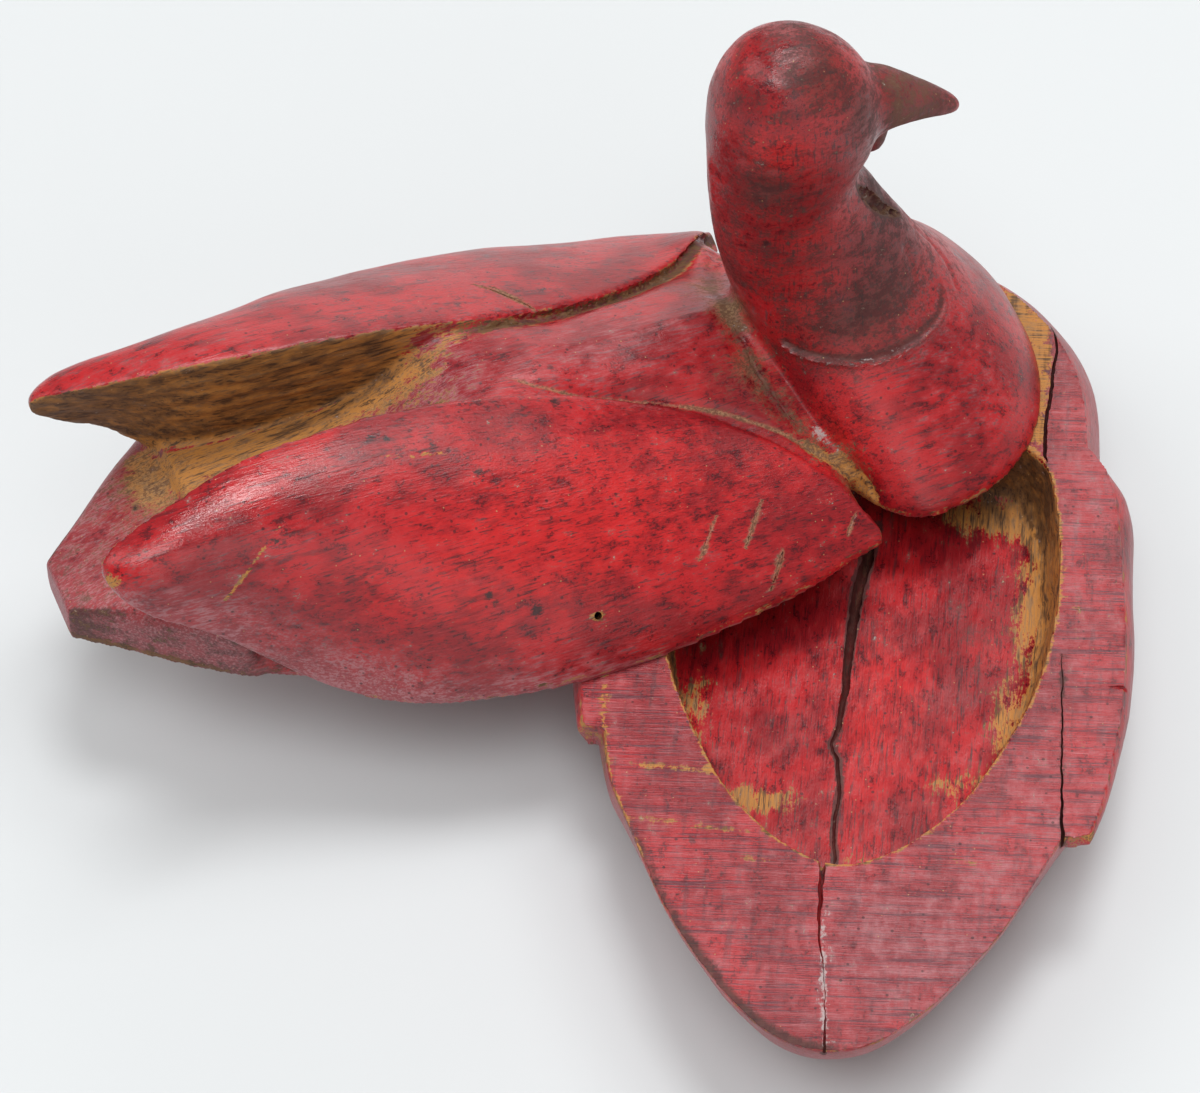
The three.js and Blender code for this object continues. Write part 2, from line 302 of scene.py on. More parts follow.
def grooveTree():  # a ragged round bar along a path, to be cut out of the wood
    tree = bpy.data.node_groups.new("grooveCutter", "GeometryNodeTree")
    socket(tree, "Path", "NodeSocketGeometry")
    for key, value in (("Flatness", 1.0), ("Lean", 0.0), ("Step", 0.45), ("Wander", 0.2), ("Rough", 0.15),
                       ("Grain", 0.7)):
        socket(tree, key, "NodeSocketFloat", value)
    socket(tree, "Sides", "NodeSocketInt", 10)
    socket(tree, "Seed", "NodeSocketInt", 1)
    socket(tree, "Material", "NodeSocketMaterial")
    socket(tree, "Cutter", "NodeSocketGeometry", output=True)
    o = addNode(tree, "NodeGroupInput", {}).outputs
    line = addNode(tree, "GeometryNodeMeshToCurve", {"Mesh": o["Path"]})
    size = addNode(tree, "GeometryNodeInputNamedAttribute", {"data_type": "FLOAT", "Name": "halfWidth"})
    sized = addNode(tree, "GeometryNodeSetCurveRadius", {"Curve": line, "Radius": size.outputs["Attribute"]})
    fine = addNode(tree, "GeometryNodeResampleCurve", {"mode": "LENGTH", "Curve": sized, "Length": o["Step"]})
    up = addNode(tree, "GeometryNodeSetCurveNormal", {"mode": "Z_UP", "Curve": fine})
    bent = shaken(tree, up, o["Seed"], 0.35, o["Wander"])
    ring = addNode(tree, "GeometryNodeCurvePrimitiveCircle", {"Radius": 1.0, "Resolution": o["Sides"]})
    squeeze = addNode(tree, "ShaderNodeCombineXYZ", {"X": 1.0, "Y": o["Flatness"], "Z": 1.0})
    turn = addNode(tree, "ShaderNodeCombineXYZ", {"Z": o["Lean"]})
    flat = addNode(tree, "GeometryNodeTransform", {"Geometry": ring.outputs[0], "Scale": squeeze})
    lean = addNode(tree, "GeometryNodeTransform", {"Geometry": flat, "Rotation": turn})
    bar = addNode(tree, "GeometryNodeCurveToMesh", {"Curve": bent, "Profile Curve": lean, "Fill Caps": True})
    if "Scale" in bar.inputs:
        tree.links.new(addNode(tree, "GeometryNodeInputRadius", {}).outputs[0], bar.inputs["Scale"])
    inverse = addNode(tree, "ShaderNodeMath", {"operation": "DIVIDE", 0: 1.0, 1: o["Grain"]})
    ragged = shaken(tree, bar, o["Seed"], inverse, o["Rough"])
    real = addNode(tree, "GeometryNodeRealizeInstances", {"Geometry": ragged})
    last = addNode(tree, "GeometryNodeSetMaterial", {"Geometry": real, "Material": o["Material"]})
    addNode(tree, "NodeGroupOutput", {0: last})
    return tree


def reliefTree():  # long shallow knife facets and soft swellings over a carved surface
    tree = bpy.data.node_groups.new("knifeRelief", "GeometryNodeTree")
    socket(tree, "Solid", "NodeSocketGeometry")
    for key, value in (("Facet", 9.0), ("Stretch", 0.4), ("Depth", 0.3), ("Swell", 0.4), ("Tool", 0.05)):
        socket(tree, key, "NodeSocketFloat", value)
    socket(tree, "Seed", "NodeSocketInt", 1)
    socket(tree, "Material", "NodeSocketMaterial")
    socket(tree, "Carved", "NodeSocketGeometry", output=True)
    o = addNode(tree, "NodeGroupInput", {}).outputs
    place = addNode(tree, "GeometryNodeInputPosition", {})
    along = addNode(tree, "ShaderNodeCombineXYZ", {"X": 1.0, "Y": o["Stretch"], "Z": 1.0})
    longer = addNode(tree, "ShaderNodeVectorMath", {"operation": "MULTIPLY", 0: place, 1: along})
    inverse = addNode(tree, "ShaderNodeMath", {"operation": "DIVIDE", 0: 1.0, 1: o["Facet"]})
    cells = addNode(tree, "ShaderNodeTexVoronoi", {"voronoi_dimensions": "4D", "feature": "SMOOTH_F1",
                                                   "Smoothness": 0.35, "Vector": longer, "W": o["Seed"],
                                                   "Scale": inverse})
    cut = addNode(tree, "ShaderNodeMath", {"operation": "SUBTRACT", 0: cells.outputs["Distance"], 1: 0.55})
    height = addNode(tree, "ShaderNodeMath", {"operation": "MULTIPLY", 0: cut, 1: o["Depth"]})
    for vector, scale, detail, amount in ((place, 0.04, 1.0, "Swell"), (longer, 0.6, 2.0, "Tool")):
        cloud = addNode(tree, "ShaderNodeTexNoise", {"noise_dimensions": "4D", "Scale": scale, "Detail": detail,
                                                     "Vector": vector, "W": o["Seed"]})
        centred = addNode(tree, "ShaderNodeMath", {"operation": "SUBTRACT", 0: cloud, 1: 0.5})
        height = addNode(tree, "ShaderNodeMath", {"operation": "MULTIPLY_ADD", 0: centred, 1: o[amount],
                                                  2: height})
    mask = addNode(tree, "GeometryNodeInputNamedAttribute", {"data_type": "FLOAT", "Name": "carveMask"})
    held = addNode(tree, "ShaderNodeMath", {"operation": "MULTIPLY", 0: height, 1: mask.outputs["Attribute"]})
    outward = addNode(tree, "GeometryNodeInputNormal", {})
    offset = addNode(tree, "ShaderNodeVectorMath", {"operation": "SCALE", 0: outward, "Scale": held})
    moved = addNode(tree, "GeometryNodeSetPosition", {"Geometry": o["Solid"], "Offset": offset})
    real = addNode(tree, "GeometryNodeRealizeInstances", {"Geometry": moved})
    last = addNode(tree, "GeometryNodeSetMaterial", {"Geometry": real, "Material": o["Material"]})
    addNode(tree, "NodeGroupOutput", {0: last})
    return tree


def throughTree(obj, tree, values):  # runs a node group on an object and keeps the plain mesh
    step = obj.modifiers.new(tree.name, "NODES")
    step.node_group = tree
    named = {i.name: i.identifier for i in tree.interface.items_tree if i.in_out == "INPUT"}
    for key, value in values.items():
        step[named[key]] = value
    return applied(obj)


def floatLayer(mesh, name, values):
    layer = mesh.attributes.get(name) or mesh.attributes.new(name, "FLOAT", "POINT")
    layer.data.foreach_set("value", np.asarray(values, np.float32))


def grooveCutter(tree, name, path, widths, material, **values):  # path points in mm, half widths in mm
    obj = meshObject(name, np.array(path, float), [], [(i, i + 1) for i in range(len(path) - 1)])
    floatLayer(obj.data, "halfWidth", widthAt(np.linspace(0, 1, len(path)), widths))
    return throughTree(obj, tree, {"Material": material, **values})


def cutGrooves(obj, tree, material, cuts):  # name, path, half widths and the tree's inputs of each
    cutters = [grooveCutter(tree, name, path, widths, material, **values)
               for name, path, widths, values in cuts]
    return combine(obj, cutters, "DIFFERENCE")


def roundLoop(points, step):  # smooth closed loop through points, evenly resampled
    p = np.array(points, float)
    gaps = np.linalg.norm(np.roll(p, -1, axis=0) - p, axis=1)
    before, after = np.roll(p, 1, axis=0), np.roll(p, -1, axis=0)
    tangent = (after - before) / (np.roll(gaps, 1) + gaps)[:, None]
    out = []
    for i in range(len(p)):
        j = (i + 1) % len(p)
        n = max(2, int(gaps[i] / 0.2))
        s = np.arange(n)[:, None] / n
        h = gaps[i]
        out.append(p[i] * (1 + 2 * s) * (1 - s) ** 2 + p[j] * s * s * (3 - 2 * s)
                   + h * s * (1 - s) * (tangent[i] * (1 - s) - tangent[j] * s))
    out = np.concatenate(out)
    run = np.concatenate([[0], np.cumsum(np.linalg.norm(np.roll(out, -1, axis=0) - out, axis=1))])
    closed = np.concatenate([out, out[:1]])
    want = np.linspace(0, run[-1], max(12, int(run[-1] / step)), endpoint=False)
    return np.stack([np.interp(want, run, closed[:, k]) for k in range(2)], axis=1)


def divided(points, n):  # points spread evenly along an open polyline
    p = np.array(points, float)
    run = np.concatenate([[0], np.cumsum(np.linalg.norm(np.diff(p, axis=0), axis=1) + 1e-9)])
    want = np.linspace(0, run[-1], n)
    return np.stack([np.interp(want, run, p[:, k]) for k in range(p.shape[1])], axis=1)


def mirrored(half):  # closed loop from a half outline of [y, half width]
    half = [(w, y) for y, w in half]
    return half + [(-w, y) for w, y in reversed(half[1:-1])]


# The base: belly with an oval well, stubs of the wings' lower crescents, sawn flat on top
baseShape = {
    "outline": [
        [90, 0], [89.4, 6], [88, 11], [85.5, 16.8], [82.5, 21.8], [79, 26], [75, 29.6], [71, 32.4],
        [66, 35], [61, 36.9], [55, 38.2], [45, 39.4], [34, 40.8], [22, 42], [8, 42.9], [-6, 43.1],
        [-20, 42.6], [-30, 41.6], [-37.5, 40], [-44, 37.3], [-50, 34.6], [-56, 31.9], [-62, 29],
        [-68, 25.5], [-74, 21.4], [-79, 17.6], [-83, 13.8], [-86.3, 9.8], [-88.6, 5.4], [-89.5, 0]],
    "levels": [  # height, front and rear length, breast, middle and tail width
        [0, 0.84, 0.66, 0.82, 0.89, 0.60], [1.2, 0.89, 0.71, 0.88, 0.935, 0.66],
        [4, 0.96, 0.78, 0.95, 0.975, 0.73], [8.5, 1.025, 0.845, 1.02, 1.01, 0.81],
        [14, 1.075, 0.91, 1.10, 1.03, 0.88], [19, 1.07, 0.952, 1.105, 1.03, 0.935],
        [24, 1.038, 0.982, 1.06, 1.015, 0.975], [28, 1, 1, 1, 1, 1]],
    "crescent": [
        [44.5, 39.8], [42, 41.6], [38.5, 43.1], [32.8, 44.3], [23.6, 45.5], [14.5, 46.4], [5.5, 47],
        [-4, 47.2], [-12, 47.1], [-18, 46.6], [-25.4, 45.7], [-34, 44.3], [-41.8, 42.2]],
    "crescentEnds": {1: -41.8, -1: -26.0},
    "crescentDrop": [[44.5, 17], [30, 17], [10, 15], [-10, 11], [-26, 6.5], [-41.8, 3.6]],
    "well": [
        [45, 0], [45, 14], [44.6, 24], [43, 29.5], [38.7, 32.4], [34, 33.6], [27, 34.6], [19, 35.2],
        [10, 35.3], [2, 34.5], [-6, 33.3], [-14, 31.2], [-21, 28.5], [-28, 25.3], [-34, 22.2],
        [-39.5, 18.3], [-44, 14], [-47.4, 10.3], [-50, 6], [-51.5, 2.2], [-51.7, 0]],
    "wellDepth": 13.0,
    "voxel": 0.56,
    "sawTurn": 3.0, "sawPitch": 0.9,  # degrees from square to the length, mm between the saw's marks
    # depth in mm, stretch, size in mm, seed, octaves
    "wallMarks": [(0.45, (1, 1, 0.25), 2.6, 8, 2), (0.25, (1, 1, 1), 1.3, 9, 2)],
    "floorMarks": [(0.22, (1, 1, 1), 9, 12, 2), (0.07, (1, 0.5, 1), 1.6, 13, 2)],
    "sawMarks": [(0.05, (1, 1, 1), 1.0, 41, 2), (0.05, (2, 0.35, 1), 1.0, 42, 1)],
    "sawLength": 22, "sawSink": 0.03,
    "knob": ((29.8, 42.4, 28.0), (2.6, 2.2, 2.5), 0.5),  # place, size, rise
    "knobTop": 0.2,                                      # its highest above the rim
    "knife": {"Facet": 8.0, "Depth": 0.3, "Swell": 0.4, "Tool": 0.06, "Seed": 4},
    "cracks": {  # path, half widths along it, depth as a multiple of the half width
        "floor": (
            [[1.6, 33, 15.2], [0.9, 25.3, 15.1], [-0.4, 15.9, 15.1], [-0.9, 6.7, 15.1], [-1.1, -4.6, 15.1],
             [-1.8, -13.5, 15.1], [-2.9, -16.9, 15.1], [-1.4, -20.1, 15.1], [-0.7, -25.5, 15.1],
             [-0.8, -28.8, 15.1], [-1.2, -35.2, 15.1], [-0.6, -41.1, 15.3], [-0.9, -45.5, 17.0]],
            [1.15, 1.1, 1.0, 0.9, 0.72, 0.45, 0.26, 0.34, 0.36, 0.3, 0.3, 0.3, 0.28], 3.0),
        "rim": ([[-0.8, -44.5, 23.5], [-1.9, -47.5, 27.8], [-2.6, -51.5, 28.0], [-2.4, -59.3, 28.0],
                 [-2.3, -65.5, 28.0], [-1.3, -71.4, 28.0], [-0.6, -76.4, 28.0], [-0.1, -81.4, 28.0],
                 [0.1, -86.0, 28.0], [0.2, -91.5, 27.5]],
                [0.5, 0.6, 0.55, 0.4, 0.22, 0.14, 0.1, 0.12, 0.2, 0.35], 4.0),
        "wing": ([[36.3, -3.0, 28.1], [36.6, -11.0, 28.1], [37.0, -21.9, 28.1], [37.3, -32.6, 28.1],
                  [37.5, -40.0, 28.1], [38.2, -44.5, 28.0]],
                 [0.06, 0.12, 0.16, 0.2, 0.3, 0.45], 9.0),
        "chest": ([[31.5, 75.5, 28.1], [32.8, 68.8, 28.1], [32.3, 61.4, 28.1], [32.0, 55.4, 28.1],
                   [31.5, 49.3, 28.1], [31.4, 43.6, 28.0], [31.8, 40.5, 26.0]],
                  [0.1, 0.26, 0.32, 0.36, 0.34, 0.38, 0.3], 6.0)},
    "nick": ([[44.6, -9.7, 28.1], [46.4, -9.5, 28.0], [48.6, -9.2, 26.8]], [0.3, 0.45, 0.6]),
    "floorPatches": {  # layer of the paint: place, size, how much
        "rawWood": [
            ((24, 37, 15), (13, 5, 3), 0.8625), ((31, 18, 16), (4, 15, 4), 0.69),
            ((27.5, -9, 15), (3.5, 11, 3), 0.575), ((-27, -10, 15), (3.5, 11, 3), 0.575),
            ((-15, -30, 15), (8, 3.5, 3), 0.828),
            ((19, -24, 15), (6, 4, 3), 0.5175), ((6, -41.5, 15), (7, 2.5, 3), 0.46)],
        # dark brown in the floor's front corner, below the knob, is painted shade
        "umberAndShade": [((28, 42, 15), (16, 7, 4), 0.7)],
        "grime": [((24, 8, 15), (9, 14, 4), 0.3)],
        "fresh": [((4, -8, 15), (16, 26, 6), 0.5)]},
    "rimPatches": {
        "rawWood": [
            ((-33.4, -33.9, 28), (5, 0.8, 2), 0.6), ((-24.7, -34.1, 28), (6, 0.8, 2), 0.5),
            ((-29.8, -45.2, 28), (5, 1.0, 2), 0.45), ((-20.4, -46.4, 28), (8, 0.9, 2), 0.5),
            ((21.0, -49, 28), (6, 1.2, 2), 0.4), ((41, -22, 28), (3, 2, 2), 0.4),
            ((-14, -52, 28), (6, 0.9, 2), 0.4), ((38, 6, 28), (2, 6, 2), 0.35)],
        # the pale patch near the rim's tail end is a painted sheen
        "dryPaint": [((14, -68, 28), (20, 16, 4), 0.4)],
        "grime": [((44, 22, 28), (3.5, 16, 3), 0.4)]},
    "chestStrip": [[40, 30.5], [43, 31.4], [50, 31.8], [61, 32.4], [69, 32.6], [76, 31.0]],
    "fillerLine": [[-1.6, -62, 28], [-1.0, -71, 28], [-0.6, -76.4, 28], [0.0, -84, 28], [0.2, -88, 28]],
}


def hullSkin():  # the belly, in level rings that swell and draw in
    s = baseShape
    loop = roundLoop(mirrored(s["outline"]), 0.9)
    columns = curves(s["levels"])
    heights = np.concatenate([[0, 0.25, 0.6, 1.0], np.linspace(1.6, common["baseHeight"], 44)])
    rings = []
    x, y = loop.T
    for z in heights:
        front, rear, breast, middle, tail = [float(c(z)) for c in columns]
        wide = mix(mix(middle, tail, (-20 - y) / 50), breast, (y - 20) / 50)
        rings.append(np.stack([x * wide, y * np.where(y > 0, front, rear), np.full(len(x), z)], axis=1))
    return loft("hull", rings)


def crescentSkin(side):  # the lower part of a wing, which the base carries: 1 on the right, -1 on the left
    s = baseShape
    outer, drop = curve(s["crescent"]), curve(s["crescentDrop"])
    rings = []
    end = s["crescentEnds"][side]
    for y in np.linspace(44.5, end, 110):
        x, d = float(outer(y)), float(drop(y))
        k = min(1, (44.5 - y) / 9 + 0.12) * d / 14 + 0.55 * math.exp(-((y - 33) / 10) ** 2)
        skin = [[x, 0], [x + 1.6 * k, -0.2 * d], [x + 2.3 * k, -0.45 * d], [x + 1.5 * k, -0.7 * d],
                [x - 1.5 * k - 0.5, -0.9 * d], [x - 5.5 * k - 1.5, -d], [x - 12, -d]]
        ring = np.concatenate([divided([[x - 9, 0], [x, 0]], 12)[:-1], divided(skin, 30)])
        p = np.stack([side * ring[:, 0], np.full(len(ring), y), common["baseHeight"] + ring[:, 1]], axis=1)
        torn = smooth(5, 0, y - end)  # the end is broken off along the grain
        p[:, 1] += torn * (1.5 * noise(p * [1, 0, 1] + [0, side * 9, 0], 2.2, 31) - 0.4)
        rings.append(p)
    return loft("crescent", rings)


def wellSkin():
    s = baseShape
    top = common["baseHeight"]
    floor = top - s["wellDepth"]
    k = curve([[floor, 0.86], [floor + 0.6, 0.91], [floor + 3, 0.955], [top - 2, 0.99], [top + 2, 1.0]])
    loop = roundLoop(mirrored(s["well"]), 0.8)
    rings = []
    for z in np.concatenate([floor + np.array([0, 0.15, 0.35, 0.6, 1.0, 1.5, 2.2, 3.0]),
                             np.linspace(floor + 4, top + 2, 18)]):
        scale = float(k(z))
        rings.append(np.stack([loop[:, 0] * scale, -3 + (loop[:, 1] + 3) * (0.3 + 0.7 * scale),
                               np.full(len(loop), z)], axis=1))
    for turns in range(1, 8):  # the floor, closed towards its middle so that it can be dished
        scale = 0.86 * (1 - turns / 8)
        rings.insert(0, np.stack([loop[:, 0] * scale, -3 + (loop[:, 1] + 3) * (0.3 + 0.7 * 0.86) * scale / 0.86,
                                  np.full(len(loop), floor)], axis=1))
    return loft("well", rings)


def remeshed(obj, size):
    step = obj.modifiers.new("voxels", "REMESH")
    step.mode = "VOXEL"
    step.voxel_size = size
    step.use_smooth_shade = True
    return applied(obj)


def thinned(obj, triangles):
    mesh = obj.data
    mesh.calc_loop_triangles()
    count = len(mesh.loop_triangles)
    if count > triangles:
        step = obj.modifiers.new("thin", "DECIMATE")
        step.ratio = triangles / count
        step.use_collapse_triangulate = True
        applied(obj)
    return obj


def carveBase(groove, relief, blank):
    s = baseShape
    top = common["baseHeight"]
    obj = combine(hullSkin(), [crescentSkin(1), crescentSkin(-1)], "UNION")
    combine(obj, [wellSkin()], "DIFFERENCE")
    remeshed(obj, s["voxel"])
    mesh = obj.data
    p, n = positions(mesh), normals(mesh)
    edges = edgesOf(mesh)
    p = spread(p, edges, 2)
    flatTop = (p[:, 2] > top - 0.35) & (n[:, 2] > 0.6) | (p[:, 2] > top - 0.12)
    well = roundLoop(mirrored(s["well"]), 1.0)
    gap = planGap(p, well)[0]
    inside = (np.abs(n[:, 2]) < 0.75) & (gap < 4) & (p[:, 2] > 15.2)
    p[:, 2] = np.where(flatTop, top, p[:, 2])
    under = (p[:, 2] < 0.35) & (n[:, 2] < -0.6)
    p[:, 2] = np.where(under, 0.0, p[:, 2])
    setPositions(mesh, p)
    n = normals(mesh)
    # gouge marks down the wall of the well, and a dished, uneven floor
    marks = np.where(inside, uneven(p, s["wallMarks"]), 0.0)
    p += n * (marks * smooth(top - 0.1, top - 2.5, p[:, 2]))[:, None]
    floor = (n[:, 2] > 0.7) & (p[:, 2] < 17)
    p[:, 2] += np.where(floor, uneven(p, s["floorMarks"]), 0.0)
    # a low knob at the front of the well, and the rim furrowed by the saw across its length
    place, size, rise = s["knob"]
    p += n * (rise * blob(p, place, size))[:, None]
    p[:, 2] = np.minimum(p[:, 2], top + s["knobTop"])
    a = math.radians(s["sawTurn"])
    across = np.stack([(p[:, 0] * math.cos(a) + p[:, 1] * math.sin(a)) / s["sawLength"],
                       (p[:, 1] * math.cos(a) - p[:, 0] * math.sin(a)) / s["sawPitch"], p[:, 2] * 0], axis=1)
    p[:, 2] += np.where(flatTop, uneven(across, s["sawMarks"]) - s["sawSink"], 0.0)
    setPositions(mesh, p)
    carve = np.where(flatTop | under, 0.0, 1.0)
    carve = np.where(floor | inside, 0.25, carve)
    floatLayer(mesh, "carveMask", spread(carve, edges, 2) * np.where(flatTop | under, 0.0, 1.0))
    throughTree(obj, relief, {**s["knife"], "Material": blank})
    cutGrooves(obj, groove, blank, [
        ("crack", path, widths, {"Flatness": deep, "Step": 0.5, "Wander": 1.1, "Grain": 0.9, "Sides": 12,
                                 "Seed": number, "Rough": 0.7 * max(0.4, float(np.mean(widths)))})
        for number, (path, widths, deep) in enumerate(s["cracks"].values())])
    cutGrooves(obj, groove, blank, [("nick", *s["nick"], {"Rough": 0.3, "Seed": 9})])
    combine(obj, [cylinder("peg", common["pegRadius"], top - 3, top + common["pegHeight"])], "UNION")
    return thinned(obj, common["triangles"])


